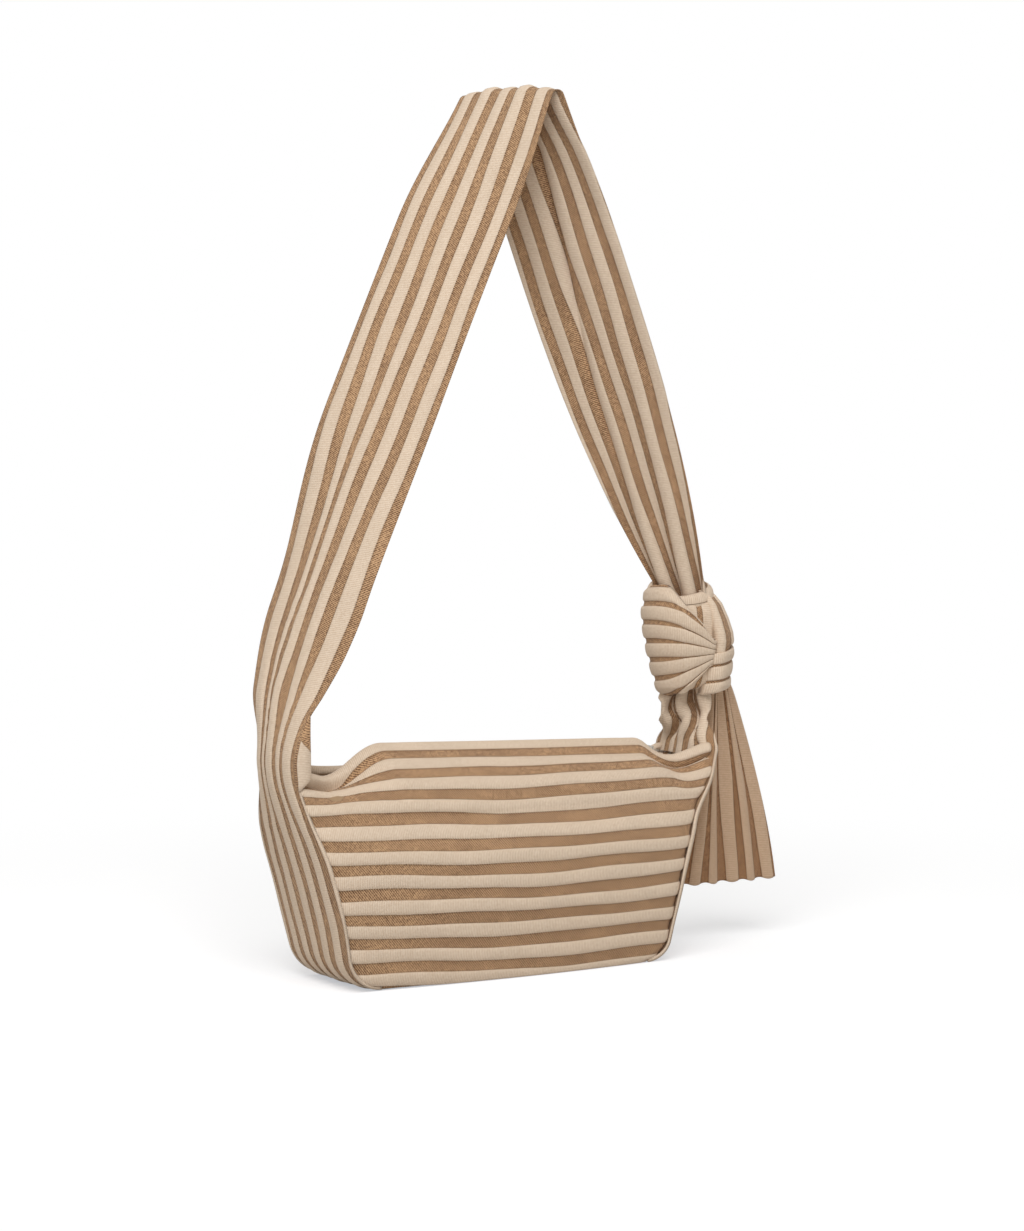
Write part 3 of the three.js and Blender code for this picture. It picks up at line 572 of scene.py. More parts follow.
def rib_relief(stripe, share, height, edge=RIB_EDGE, crown=RIB_CROWN):
    """Height of the ribs over the tan bands: rounded cream ribs with steep sides."""
    distance = np.abs(stripe - np.round(stripe))
    top = smooth((share / 2 + edge - distance) / (2 * edge))
    return height * top * (1 - crown * np.clip(distance / (share / 2), 0, 1) ** 2)


def arc_lengths(points):
    steps = np.linalg.norm(np.diff(points, axis=0), axis=-1)
    return np.concatenate([[0], np.cumsum(steps)])


def even(points, step):
    """Points at an even step along a line of points."""
    lengths = arc_lengths(points)
    places = np.linspace(0, lengths[-1], int(lengths[-1] / step) + 1)
    return np.stack([np.interp(places, lengths, points[:, k]) for k in range(points.shape[1])], -1)


def bezier(a, b, c, d, t):
    t = np.asarray(t, float)[..., None]
    return a * (1 - t) ** 3 + 3 * b * t * (1 - t) ** 2 + 3 * c * t**2 * (1 - t) + d * t**3


# Materials

class Graph:
    """The node tree of a material or a world, with short calls for the nodes that it needs."""

    # Input sockets of the two ends that a mix node blends, and its output socket
    MIX_SOCKETS = {"RGBA": (6, 7, 2), "FLOAT": (2, 3, 0)}

    def __init__(self, owner):
        owner.use_nodes = True
        self.owner = owner
        self.tree = owner.node_tree
        self.shader = self.tree.nodes.get("Principled BSDF")

    def put(self, socket, value):
        if isinstance(value, bpy.types.NodeSocket):
            self.tree.links.new(value, socket)
        else:
            socket.default_value = value

    def node(self, kind, *values, **settings):
        """A new node with these settings, and with values or links in its first sockets."""
        made = self.tree.nodes.new("ShaderNode" + kind)
        for key, value in settings.items():
            setattr(made, key, value)
        for socket, value in zip(made.inputs, values):
            self.put(socket, value)
        return made

    def math(self, operation, *values):
        return self.node("Math", *values, operation=operation).outputs[0]

    def weigh(self, a, b, weights):
        return self.math("MULTIPLY_ADD", a, weights[0], self.math("MULTIPLY", b, weights[1]))

    def wave(self, value, pitch):
        """A sine from 0 to 1 that repeats every pitch."""
        turned = self.math("SINE", self.math("MULTIPLY", value, FULL_TURN / pitch))
        return self.math("MULTIPLY_ADD", turned, 0.5, 0.5)

    def ramp(self, *values):
        """A soft step from the first two numbers after the value to the last two."""
        return self.node("MapRange", *values, interpolation_type="SMOOTHSTEP").outputs[0]

    def blend(self, share, a, b, kind="RGBA"):
        made = self.node("Mix", share, data_type=kind)
        first, second, out = self.MIX_SOCKETS[kind]
        self.put(made.inputs[first], a)
        self.put(made.inputs[second], b)
        return made.outputs[out]

    def filter(self, tone, through):
        return self.node("VectorMath", tone, through, operation="MULTIPLY").outputs[0]

    def place(self):
        return self.node("TexCoord").outputs["Object"]

    def noise(self, scale, detail=2.0):
        made = self.node("TexNoise", self.place())
        made.inputs["Scale"].default_value = scale
        made.inputs["Detail"].default_value = detail
        return made.outputs["Fac"]

    def bump(self, height, distance):
        made = self.node("Bump")
        made.inputs["Distance"].default_value = distance
        self.put(made.inputs["Height"], height)
        self.put(self.shader.inputs["Normal"], made.outputs[0])

    def set(self, **values):
        for name, value in values.items():
            self.put(self.shader.inputs[name.replace("_", " ").title()], value)
        return self.owner


def linear(tones):
    """Colours written in sRGB steps of 255, none of them near black, as linear light."""
    return [(*[((step / 255 + 0.055) / 1.055) ** 2.4 for step in tone], 1.0) for tone in tones]


def knit_material():
    """Smooth cream ribs with fine cross lines, and recessed tan bands with a grainy diagonal hatch."""
    g = Graph(bpy.data.materials.new("striped_knit"))
    in_ribs = g.node("Attribute", attribute_name="knit").outputs["Vector"]
    along, stripe, share = g.node("SeparateXYZ", in_ribs).outputs
    turned = g.math("FRACT", g.math("ADD", stripe, RIB_MOVE))
    distance = g.math("ABSOLUTE", g.math("SUBTRACT", turned, 0.5))
    outside = g.math("SUBTRACT", distance, g.math("MULTIPLY", share, 0.5))
    cream = g.ramp(outside, *CREAM_EDGE, 1.0, 0.0)
    across = g.math("MULTIPLY", stripe, PITCH * HATCH_SLANT)
    lines = g.wave(along, LINE_PITCH)
    rising = g.wave(g.math("ADD", along, across), HATCH_PITCH)
    falling = g.wave(g.math("SUBTRACT", along, across), HATCH_PITCH)
    grain = g.noise(GRAIN_SCALE, 3.0)
    patch = g.noise(PATCH_SCALE)
    hatch = g.weigh(g.math("MULTIPLY", rising, falling), rising, HATCH_WEIGHTS)
    speck = g.weigh(g.math("SUBTRACT", grain, 0.5), hatch, (GRAIN_WEIGHT, g.ramp(patch, *HATCH_PATCH)))
    tan = g.blend(g.ramp(speck, *TAN_RANGE), *linear(TAN_TONES))
    # Painted shade: the tan is darkened where it meets the raised cream ribs.
    tan = g.filter(tan, g.ramp(outside, *TAN_EDGE_PAINTED_SHADE))
    pale = g.blend(g.ramp(g.weigh(lines, grain, CREAM_WEIGHTS), *CREAM_RANGE), *linear(CREAM_TONES))
    pale = g.filter(pale, g.ramp(patch, *CREAM_PATCH))
    tan_height = g.math("MULTIPLY_ADD", speck, *TAN_BUMP)
    pale_height = g.weigh(lines, grain, CREAM_BUMP_WEIGHTS)
    g.bump(g.blend(cream, tan_height, pale_height, "FLOAT"), KNIT_BUMP)
    # Painted shade: the shade attribute blends the colour towards the warm painted shade filter.
    shade = g.node("Attribute", attribute_name="shade").outputs["Fac"]
    tone = g.filter(g.blend(cream, tan, pale), g.blend(shade, WHITE, WARM_PAINTED_SHADE))
    return g.set(base_color=tone, roughness=0.9, sheen_weight=0.12, sheen_roughness=0.5)


def cloth_material(name, tones, thread):
    """Plain weave whose threads are thread millimetres apart."""
    g = Graph(bpy.data.materials.new(name))
    waves = [g.wave(axis, thread * MM) for axis in g.node("SeparateXYZ", g.place()).outputs]
    weave = g.math("MULTIPLY", g.math("ADD", waves[0], waves[1]), waves[2])
    g.bump(weave, WEAVE_BUMP)
    share = g.weigh(weave, g.noise(WEAVE_PATCH_SCALE), WEAVE_WEIGHTS)
    return g.set(base_color=g.blend(share, *linear(tones)), roughness=0.85)


def metal_material():
    """Polished nickel with faint wear."""
    g = Graph(bpy.data.materials.new("zip_metal"))
    wear = g.noise(WEAR_SCALE, 4.0)
    tone = g.blend(wear, *linear(NICKEL_TONES))
    return g.set(base_color=tone, metallic=1.0, roughness=g.ramp(wear, *WEAR_ROUGHNESS))


knit = knit_material()
lining_cloth = cloth_material("lining_cloth", LINING_TONES, LINING_THREAD)
tape_cloth = cloth_material("zip_tape", TAPE_TONES, TAPE_THREAD)
nickel = metal_material()


def dress(piece, body, *nodes, slot="striped_knit"):
    """Lets a piece ride on a body and lets it stand for CAD nodes. Its slot argument is not used."""
    if body:
        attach(piece, body)
    if nodes:
        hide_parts(*nodes)


def bridge(piece, end, *nodes):
    """Bakes a knit piece's placement into its mesh and lets it stand for CAD nodes. Its end argument is
    not used.
    """
    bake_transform(piece)
    dress(piece, None, *nodes)


# Panels

def rim_height(x, front):
    """Height of a panel's folded rim along the mouth, with a valley near each end."""
    z = RIM_MIDDLE + RIM_SLOPE * x - (0 if front else BACK_RIM_DROP)
    for side, start, low_at, low, end in FRONT_VALLEYS if front else BACK_VALLEYS:
        reach = side * x
        back = mix(low, end, ramp(reach, (low_at, MOUTH_HALF)))
        z = np.where(reach > 0, mix(z, back, ramp(reach, (start, low_at))), z)
    return z


def shoulder_places(length, full):
    """Arc places of a panel column's rows over the shoulder. Where the column is shorter than the full
    length, the cloth that it spares is tucked into a crease below the rim."""
    depth = np.linspace(full, 0, int(full / PITCH * RIB_ROWS))
    tuck = bump(depth, *TUCK_BELOW)
    spare = min(TUCK_MOST, max(0.0, full - length) / np.sum(tuck[1:] * -np.diff(depth)))
    keep = 1 - spare * tuck
    places = np.concatenate([[0], np.cumsum(keep[1:] * -np.diff(depth))])
    return places * length / places[-1], depth, spare


def panel_rows(front):
    """The surface of the front panel, or of the back panel mirrored to the front, each row's depth below
    the rim, and how far the tuck has set in. The front's right top corner is drawn out."""
    shares = np.linspace(-1, 1, PANEL_COLUMNS)
    reach = shares * MOUTH_HALF
    spare = (1 - np.abs(shares)) * TOP_HALF

    def face_depth(z):
        lift = math.sin(math.pi * (z - PANEL_INSET) / (BAG_HEIGHT - PANEL_INSET))
        lift = max(lift, PANEL_SWELL_LEAST * (z < BAG_HEIGHT / 2))
        swell = PANEL_BULGE * (1 - shares**2) * lift
        return band_depth(z) + swell - SEAM_SINK * np.exp(-spare / SEAM_WIDTH)

    def place(y, z):
        left = half_width(z, PANEL_INSET, -1) - root_cup(z) * (ROOT_FRONT_CUP if front else 1)
        right = half_width(z, PANEL_INSET, 1)
        outer_share = np.clip(y / band_depth(np.minimum(z, BAG_HEIGHT)), 0, 1)
        right = right + RIGHT_FLARE * ramp(z, RIGHT_FLARE_SPAN) * outer_share**2 * front
        x = shares * (np.where(shares < 0, left, right) - RIM_INSET * ramp(z, RIM_INSET_SPAN))
        return joined(x, -y, z)

    # The face, from its foot to the shoulder
    count = int((SHOULDER_HEIGHT - PANEL_FOOT) / PITCH * RIB_ROWS)
    heights = np.linspace(PANEL_FOOT, SHOULDER_HEIGHT, count)
    lower = [place(face_depth(z), z) for z in heights]

    # The shoulder, leaning over to the rim
    open_share = ramp(np.abs(reach), (RIM_OPEN_FROM, MOUTH_HALF))
    lean = np.radians(mix(*RIM_LEAN, open_share))
    start = joined(face_depth(SHOULDER_HEIGHT), SHOULDER_HEIGHT)
    rim = joined(mix(*RIM_HALF, open_share), rim_height(reach, front))
    span = np.linalg.norm(rim - start, axis=-1)[:, None]
    arrive = joined(-np.sin(lean), np.cos(lean))
    leave_at = start + np.array([0, SHOULDER_HANDLES[0]]) * span
    arrive_from = rim - arrive * span * SHOULDER_HANDLES[1]
    curves = bezier(start, leave_at, arrive_from, rim, np.linspace(0, 1, SHOULDER_STEPS)[:, None])
    curves = curves.swapaxes(0, 1)
    lengths = [arc_lengths(curve) for curve in curves]
    full = lengths[PANEL_COLUMNS // 2][-1]
    upper, tucks = [], []
    for curve, length in zip(curves, lengths):
        places, depth, tuck = shoulder_places(length[-1], full)
        upper.append([np.interp(places, length, part) for part in curve.T])
        tucks.append(tuck)
    upper = [place(*row) for row in np.array(upper).T[1:]]

    # The roll over the rim, and the facing down to the zip's tape
    inward = joined(-arrive[:, 1], arrive[:, 0])
    roll = []
    for angle in np.radians(np.linspace(0, ROLL_TURN, ROLL_STEPS + 1)[1:]):
        at = rim + ROLL_RADIUS * (inward * (1 - math.cos(angle)) + arrive * math.sin(angle))
        roll.append(place(*at.T))
    tape_y = mix(TAPE_EDGES[1] - FACING_LAP, at[:, 0], ramp(np.abs(reach), FACING_END))
    tape = joined(tape_y, np.minimum(zip_height(reach), at[:, 1] - FACING_LAP))
    for share in np.linspace(0, 1, FACING_STEPS + 1)[1:]:
        roll.append(place(*mix(at, tape, share).T))
    above = -np.arange(1, ROLL_STEPS + 1) * ROLL_RADIUS * math.radians(ROLL_TURN) / ROLL_STEPS
    facing = above[-1] - np.arange(1, FACING_STEPS + 1) * FACING_STEP
    depths = np.concatenate([depth[0] + (SHOULDER_HEIGHT - heights), depth[1:], above, facing])
    return np.array(lower + upper + roll), depths[:, None], np.array(tucks)


def panel(node, side):
    """Front (side 1) or back (side -1) panel: a pillowed sheet with ribs, rolled in at the mouth."""
    grid, depths, tucks = panel_rows(side > 0)
    x = grid[..., 0]
    sink = mix(*ROW_SINK, ramp(x, ROW_SINK_SPAN)) * smooth(depths / ROW_SINK_DEPTH)
    stripe = (TOP_RIB_BELOW_RIM - depths + sink) / PANEL_PITCH
    stripe = np.where(stripe > 0, stripe * RIM_STRETCH, stripe)
    stripe = stripe + wobble(x + ROW_DRIFT_APART * side, stripe) * smooth(depths / ROW_DRIFT_DEPTH)
    tuck = bump(depths, TUCK_BELOW[0], TUCK_BELOW[1] * TUCK_NARROW)
    fold = (RIM_OVERHANG * bump(depths, *RIM_OVERHANG_BELOW) - TUCK_DEPTH * tuck) * tucks
    valley = bump(x, *VALLEY_CREASE_AT) * (side > 0)
    fold = fold - VALLEY_CREASE * valley * bump(depths, *VALLEY_CREASE_BELOW)
    covered = smooth(VALLEY_SHARE_SPREAD * valley) * (1 - ramp(depths, VALLEY_SHARE_END))
    share = mix(CREAM_SHARE, VALLEY_SHARE, covered)
    normal = grid_normals(grid)
    relief = rib_relief(stripe, share, RIB_HEIGHT) - RIB_HEIGHT
    outer = grid + normal * (relief + fold)[..., None]
    inner = grid + normal * (fold - RIB_HEIGHT - PANEL_CORE)[..., None]
    place = joined(x, stripe, share)
    if side < 0:
        outer, inner, place = [part[:, ::-1] for part in (outer, inner, place)]
        outer, inner = [part * (1, -1, 1) for part in (outer, inner)]
    dress(shell(node + "_knit", outer, inner, knit, place), "bag", node)


panel("front_panel", 1)
panel("back_panel", -1)


# Side bands and strap

def corner_and_side(side):
    """Middle line of a side band in X and Z, from the end of the flat base up to the strap's root."""
    turn = np.linspace(0, math.pi / 2 - foot_lean(side), CORNER_STEPS)
    radius = CORNER_RADIUS[side]
    arc = joined(corner_x(side) + radius * np.sin(turn), radius * (1 - np.cos(turn)))
    heights = np.linspace(arc[-1, 1], BAG_HEIGHT, SIDE_STEPS)[1:]
    return np.vstack([arc, joined(half_width(heights, 0, side), heights)]) * (side, 1)


def lean_vector(lean):
    return np.array([math.sin(math.radians(lean)), math.cos(math.radians(lean))])


def strap_path():
    """The strap's middle line in X and Z: left side band, left leg, fold at the top, and right leg."""
    up = lean_vector(LEFT_LEAN)
    down = lean_vector(RIGHT_LEAN) * (1, -1)
    apex = np.array([APEX_X, BAG_HEIGHT + STRAP_RISE - APEX_RADIUS])
    left_out = np.array([-up[1], up[0]])
    right_out = np.array([-down[1], down[0]])
    left_top = apex + left_out * APEX_RADIUS
    right_top = apex + right_out * APEX_RADIUS
    root = np.array([-TOP_HALF, BAG_HEIGHT])
    root_handle = root + lean_vector(-ROOT_LEAN) * ROOT_HANDLE
    entry = np.array([KNOT_X + KNOT_ENTRY[0], KNOT_Z + KNOT_ENTRY[1]])
    entry_handle = entry + lean_vector(-ENTRY_LEAN) * ENTRY_HANDLE
    t = np.linspace(0, 1, LEG_STEPS)
    left = bezier(root, root_handle, left_top - up * LEFT_HANDLE, left_top, t)
    turn_ends = [math.atan2(out[1], out[0]) for out in (left_out, right_out)]
    turn = np.linspace(*turn_ends, APEX_STEPS)
    fold = apex + APEX_RADIUS * joined(np.cos(turn), np.sin(turn))
    right = bezier(right_top, right_top + down * RIGHT_HANDLE, entry_handle, entry, t)
    return corner_and_side(-1), left[1:], fold[1:-1], np.vstack([right, entry - (0, STRAP_SINK)])


def stations(whole, step, side_end):
    """Points at an even step along a line, with the bend at the side band's end eased out, and columns of
    their places along it and of their heights."""
    line = even(whole, step)
    at = arc_lengths(line)[:, None]
    spread = bump(at, at.T, ROOT_EASE)
    spread /= spread.sum(axis=1, keepdims=True)
    weight = np.exp(-(((at - side_end) / ROOT_EASE_SPAN) ** 4))
    line = mix(line, spread @ line, weight)
    return line, at, line[:, 1:]


BAND_SHARES = np.linspace(1, -1, BAND_COLUMNS)


def band_grid(line, halves, turns, lift):
    """Points across a band at each station of its middle line, lifted outwards."""
    centres = joined(line[:, 0], 0, line[:, 1])
    angle = np.radians(turns[:, 0])
    across = joined(-np.sin(angle), np.cos(angle), 0)
    outward = np.cross(np.gradient(centres, axis=0), across)
    outward /= np.linalg.norm(outward, axis=-1, keepdims=True)
    grid = centres[:, None] + across[:, None] * (BAND_SHARES * halves)[..., None]
    return grid + outward[:, None] * lift[..., None]


def ribbed(name, grid, along, stripes, share, core):
    """A piece of cloth with ribs on both faces."""
    stripes = stripes + wobble(along, stripes)
    normal = grid_normals(grid)
    relief = rib_relief(stripes, share, RIB_HEIGHT)[..., None]
    outer = grid + normal * (relief - RIB_HEIGHT)
    inner = grid - normal * (core + relief)
    return shell(name, outer, inner, knit, joined(along, stripes, share))


def pleated(stripes, share):
    """Rib places across a band where every second rib is tucked narrow, by a share from 0 to 1."""
    return stripes - share * np.sin(math.pi * stripes) / math.pi


def slack(halves, edge):
    """How far a band is drawn in, from 0 to 1. Edge is the half width of its cloth in pitches."""
    return smooth((SLACK_FROM - halves / (edge * PITCH)) / SLACK_RANGE)


def gusset_swell(at, end):
    """How far a side band swells out at places along it, up to where it ends."""
    return np.where(at <= end, GUSSET_BULGE * np.sin(math.pi * np.clip(at / end, 0, 1)), 0)


def root_curl(edge, along):
    """The strap's front edge at its root, rolled in towards the corner of the mouth."""
    turn = np.radians(np.linspace(0, CURL_TURN, CURL_COLUMNS))
    z = edge[:, 2, None] + 0 * turn
    width = np.maximum(CURL_LEAST, (CURL_X - edge[:, :1]) * ramp(z, CURL_FADE))
    x = edge[:, :1] + width / 2 * (1 - np.cos(turn))
    y = edge[:, 1:2] - CURL_ROUND * width * np.sin(turn)
    grid = joined(x, y, z)
    stripes = (CURL_RIB + CURL_RIB_GAIN * turn) * ramp(z + CURL_TAN_SLANT * turn, CURL_TAN_SPAN)
    stripes = np.maximum(stripes, TAN_MIDDLE * (turn < CURL_TAN_EDGE))
    place = joined(along, stripes, CREAM_SHARE)
    piece = shell("front_root_curl", grid, grid - grid_normals(grid) * CURL_CORE, knit, place)
    bridge(piece, LEFT_BLEND_END)


def strap():
    """Left side band and long strap in one piece, from the base to the knot."""
    stretches = strap_path()
    whole = np.vstack(stretches)
    ends = np.cumsum([len(stretch) for stretch in stretches]) - 1
    side_end, left_end, fold_end, right_end = arc_lengths(whole)[ends]
    line, at, z = stations(whole, STRAP_STEP, side_end)
    apex_at = (left_end + fold_end) / 2
    falling = at > apex_at
    right_share = np.clip((at - fold_end) / (right_end - fold_end), 0, 1)
    settle = np.where(falling, 1, ramp(z, ROOT_WIDTH_SPAN))
    settled = smooth(right_share / DRIFT_SHARE)
    gather = np.clip(1 - (right_end - STRAP_SINK - at) / GATHER_LENGTH, 0, 1) ** GATHER_POWER

    # Turn and width of the band
    turns = ROOT_TURN * ramp(z, ROOT_TURN_SPAN) + (LEG_TURN - ROOT_TURN) * ramp(z, LEG_TURN_SPAN)
    turns = np.where(falling, LEG_TURN, turns)
    turns = mix(turns, APEX_TURN, smooth(1 - np.abs(at - apex_at) / APEX_SPAN))
    halves = np.where(at <= side_end, band_depth(z), mix(TOP_DEPTH, STRAP_WIDTH, settle) / 2)
    halves = mix(halves * (1 - RIGHT_SLIM * settled), GATHER_WIDTH / 2, gather)

    # Places of its ribs
    edge = mix(MIDDLE_DEPTH, STRAP_WIDTH, settle) / 2 / PITCH
    pleat = slack(halves, edge) * (1 - gather) * ~falling
    stripes = pleated(BAND_SHARES * edge, ROOT_PLEAT * pleat)
    drift = mix(RIGHT_DRIFT, GATHER_DRIFT, gather) * settled
    tuck = ramp(z, LEG_TUCK_START) * (1 - ramp(z, LEG_TUCK_END)) * ~falling
    from_tuck = BAND_SHARES - mix(*LEG_TUCK_AT, ramp(z, LEG_TUCK_SHIFT))
    step = 2 * ramp(from_tuck, (-LEG_TUCK_HALF, LEG_TUCK_HALF)) - 1
    stripes = stripes + drift + LEG_TUCK * tuck * (1 - BAND_SHARES**2) * step
    share = mix(mix(CREAM_SHARE, ROOT_SHARE, pleat), GATHER_SHARE, gather)

    # Cup, folds, ripple, tuck and crease
    cup = mix(root_cup(z), LEG_CUP, np.where(falling, 1, ramp(z, LEG_CUP_SPAN))) * (1 - gather)
    front = ramp(z, ROOT_FRONT_SPAN) + ROOT_FRONT_CUP * (1 - ramp(z, ROOT_FRONT_FADE))
    front = np.where(falling, 1, front)
    bend = cup * BAND_SHARES**2 * np.where(BAND_SHARES < 0, front, 1)
    folds = ROOT_FOLD * pleat + GATHER_FOLD * gather
    ripple = LEG_RIPPLE * settle * (1 - gather)
    crease = smooth(right_share / CREASE_START) * (1 - ramp(right_share, CREASE_END))
    crease_at = mix(*CREASE_AT, smooth(right_share / CREASE_END[0]))
    lift = gusset_swell(at, side_end) * (1 - BAND_SHARES**2) - bend
    lift = lift + folds * (np.cos(math.pi * stripes) - GATHER_FOLD_SINK)
    lift = lift + ripple * np.cos(math.pi * stripes + at / LEG_RIPPLE_LENGTH)
    lift = lift - LEG_TUCK_DEPTH * tuck * bump(from_tuck, 0, LEG_TUCK_HALF / 2)
    lift = lift + CREASE_DEPTH * crease * bump(stripes, crease_at, CREASE_WIDTH)

    grid = band_grid(line, halves, turns, lift)
    piece = ribbed("left_band_and_strap", grid, at, stripes, share, STRAP_CORE)
    bridge(piece, LEFT_BLEND_END, "left_gusset", "left_strap_root", "long_strap")
    rooted = ((at < apex_at) & (z > CURL_SPAN[0]) & (z < CURL_SPAN[1])).ravel()
    root_curl(grid[rooted, -1], at[rooted])


def short_strap():
    """Right side band and the short end of the strap, gathered into the knot from below."""
    side = corner_and_side(1)
    bend = (KNOT_X + SHORT_BEND[0], BAG_HEIGHT + SHORT_BEND[1])
    side_end = arc_lengths(side)[-1]
    whole = np.vstack([side, bend, (KNOT_X, KNOT_Z - SHORT_SINK)])
    line, at, z = stations(whole, SHORT_STEP, side_end)
    gather = smooth((z - BAG_HEIGHT) / SHORT_RISE)
    halves = np.where(at <= side_end, band_depth(z), mix(TOP_DEPTH, SHORT_TOP_WIDTH, gather) / 2)
    edge = mix(MIDDLE_DEPTH, STRAP_WIDTH, gather) / 2 / PITCH
    stripes = pleated(BAND_SHARES * edge, SHORT_PLEAT * gather)
    folds = mix(ROOT_FOLD * slack(halves, edge), SHORT_FOLD, gather)
    waves = [size * np.sin(z / length + lag * BAND_SHARES) for size, length, lag in SHORT_WAVES]
    wander = gather * sum(waves)
    flare = RIGHT_FLARE * ramp(z, RIGHT_FLARE_SPAN) * (1 - ramp(z, RIGHT_FLARE_END))
    swell = gusset_swell(at, side_end)
    lift = -swell * (1 - BAND_SHARES**2) - flare * np.clip(-BAND_SHARES, 0, 1) ** 2
    lift = lift + folds * np.cos(math.pi * stripes + wander)
    share = mix(CREAM_SHARE, SHORT_SHARE, gather)
    turns = SHORT_TURN * smooth((z - BAG_HEIGHT - SHORT_TURN_FROM) / SHORT_RISE)
    grid = band_grid(line, halves, turns, lift)[:, ::-1]
    stripes = (stripes + SHORT_SWAY * wander)[:, ::-1]
    piece = ribbed("right_band_and_short_strap", grid, at, stripes, share, STRAP_CORE)
    bridge(piece, RIGHT_BLEND_END, "right_gusset", "short_strap")


def base():
    """Flat base between the side bands, with its ribs running along it."""
    half = BASE_DEPTH / 2 - UNDER_DEPTH
    x = np.linspace(BASE_GAP - corner_x(-1), corner_x(1) - BASE_GAP, BASE_GRID[0])[:, None]
    y = np.linspace(-half, half, BASE_GRID[1])
    stripes = y / PITCH + 0 * x
    relief = rib_relief(stripes, CREAM_SHARE, RIB_HEIGHT)
    outer, inner = joined(x, y, RIB_HEIGHT - relief), joined(x, y, RIB_HEIGHT + BASE_CORE)
    piece = shell("base_knit", outer, inner, knit, joined(x, stripes, CREAM_SHARE))
    dress(piece, "bag", "base_panel")


strap()
short_strap()
base()


# Knot

def knot_direction(angle):
    """Level direction at an angle from the knot's front, anticlockwise from above."""
    turn = np.radians(KNOT_FACING + angle)
    return joined(np.cos(turn), np.sin(turn), 0)


def knot_points(out, reach, heights):
    """Points at a reach from the knot's upright axis in a direction out, at heights over its middle."""
    return out * reach[..., None] + joined(KNOT_X, 0, heights + KNOT_Z)


def dive(turned, depth, angle):
    """How far a layer's end dips under the next one. Turned is the angle from that end."""
    return depth * np.clip(1 - turned / angle, 0, 1) ** 2


def knot_sheet(node, angles, stripes, height, radius):
    """A wrapped layer of the knot: columns at angles, and rows that rise through the ribs, from the lowest
    to the highest stripe. Height is a function of angle and rib place, and radius of angle and height."""
    rise = np.linspace(0, 1, KNOT_ROWS)[:, None]
    stripe = mix(*stripes, rise)
    heights = height(angles, stripe) + KNOT_LOOK_DOWN * np.cos(np.radians(np.clip(angles, -90, 90)))
    reach = radius(angles, heights) - KNOT_EDGE * ramp(np.abs(2 * rise - 1), KNOT_EDGE_SPAN)
    out = knot_direction(angles)
    grid = knot_points(out, reach, heights)
    step = np.linalg.norm(np.gradient(grid, axis=0), axis=-1)
    pitch = np.minimum(step / np.abs(np.gradient(stripe, axis=0)), KNOT_PITCH * KNOT_PITCH_MOST)
    share = np.clip(KNOT_SHARE * KNOT_PITCH / pitch, KNOT_SHARE, KNOT_SHARE_MOST)
    relief = rib_relief(stripe, share, KNOT_RIB, KNOT_RIB_EDGE) - KNOT_RIB
    relief = relief * np.clip(pitch / KNOT_PITCH_FULL, KNOT_RIB_LEAST, 1)
    outer = grid + grid_normals(grid) * relief[..., None]
    place = joined(np.radians(angles) * KNOT_RADIUS, stripe, share)
    piece = shell(node + "_knit", outer, grid - out * KNOT_LAYER, knit, place)
    dress(piece, "strap", node)


def knot_wrap():
    """The broad wrap across the knot's front, whose ribs fan out from the pinch at its right."""
    def across(angle):
        return np.where(angle < -90, -1.0, np.sin(np.radians(angle)))

    def height(angle, stripe):
        power = FAN_POWER + FAN_POWER_GAIN * np.clip(stripe - FAN_GAIN_FROM, 0, 1)
        fan = np.clip((across(angle) - FAN_START) / FAN_REACH, 0, 1) ** power
        return mix(WRAP_MIDDLE + KNOT_PITCH * stripe, PINCH_RISE + PINCH_PITCH * stripe, fan)

    def radius(angle, heights):
        return np.interp(heights, *zip(*WRAP_PROFILE)) - dive(PINCH_ANGLE - angle, *PINCH_DIVE)

    angles = np.linspace(WRAP_START, PINCH_ANGLE, WRAP_COLUMNS)
    high = mix(*WRAP_HIGH, ramp(across(angles), WRAP_HIGH_SPAN))
    low = mix(*WRAP_LOW, ramp(across(angles), WRAP_LOW_SPAN))
    knot_sheet("knot_wrap", angles, (low, high), height, radius)


def knot_loop():
    """A band at the right side that climbs from the pinch to the back."""
    def height(angle, stripe):
        start, end = LOOP_CLIMB_SPAN
        return LOOP_MIDDLE + LOOP_PITCH * stripe + LOOP_CLIMB * (np.minimum(angle, end) - start)

    def radius(angle, heights):
        reach = np.interp(heights, *zip(*LOOP_PROFILE)) - dive(angle - LOOP_ANGLES[0], *LOOP_DIVE)
        return reach - LOOP_TUCK * ramp(angle, LOOP_TUCK_SPAN)

    angles = np.linspace(*LOOP_ANGLES, LOOP_COLUMNS)
    knot_sheet("knot_loop", angles, LOOP_STRIPES, height, radius)


def knot_fall():
    """The cloth that falls from the collar over the loop, with its ribs upright."""
    rise = np.linspace(0, 1, FALL_GRID[0])[:, None]
    angles = np.linspace(*FALL_ANGLES, FALL_GRID[1])
    heights = mix(mix(*FALL_FOOT, ramp(angles, FALL_FOOT_SPAN)), FALL_TOP, rise)
    reach = np.interp(heights, *zip(*FALL_PROFILE)) - FALL_TUCK * ramp(angles, FALL_TUCK_SPAN)
    reach = reach - dive(angles - FALL_ANGLES[0], *FALL_DIVE)
    stripe = (angles - FALL_FIRST_RIB) / FALL_RIB_ANGLE + 0 * rise
    out = knot_direction(angles)
    grid = knot_points(out, reach, heights)
    relief = rib_relief(stripe, FALL_SHARE, FALL_RIB, KNOT_RIB_EDGE, FALL_CROWN) - FALL_RIB
    outer = grid + grid_normals(grid) * relief[..., None]
    place = joined(heights, stripe, FALL_SHARE)
    dress(shell("knot_fall_knit", outer, grid - out * KNOT_LAYER, knit, place), "strap")


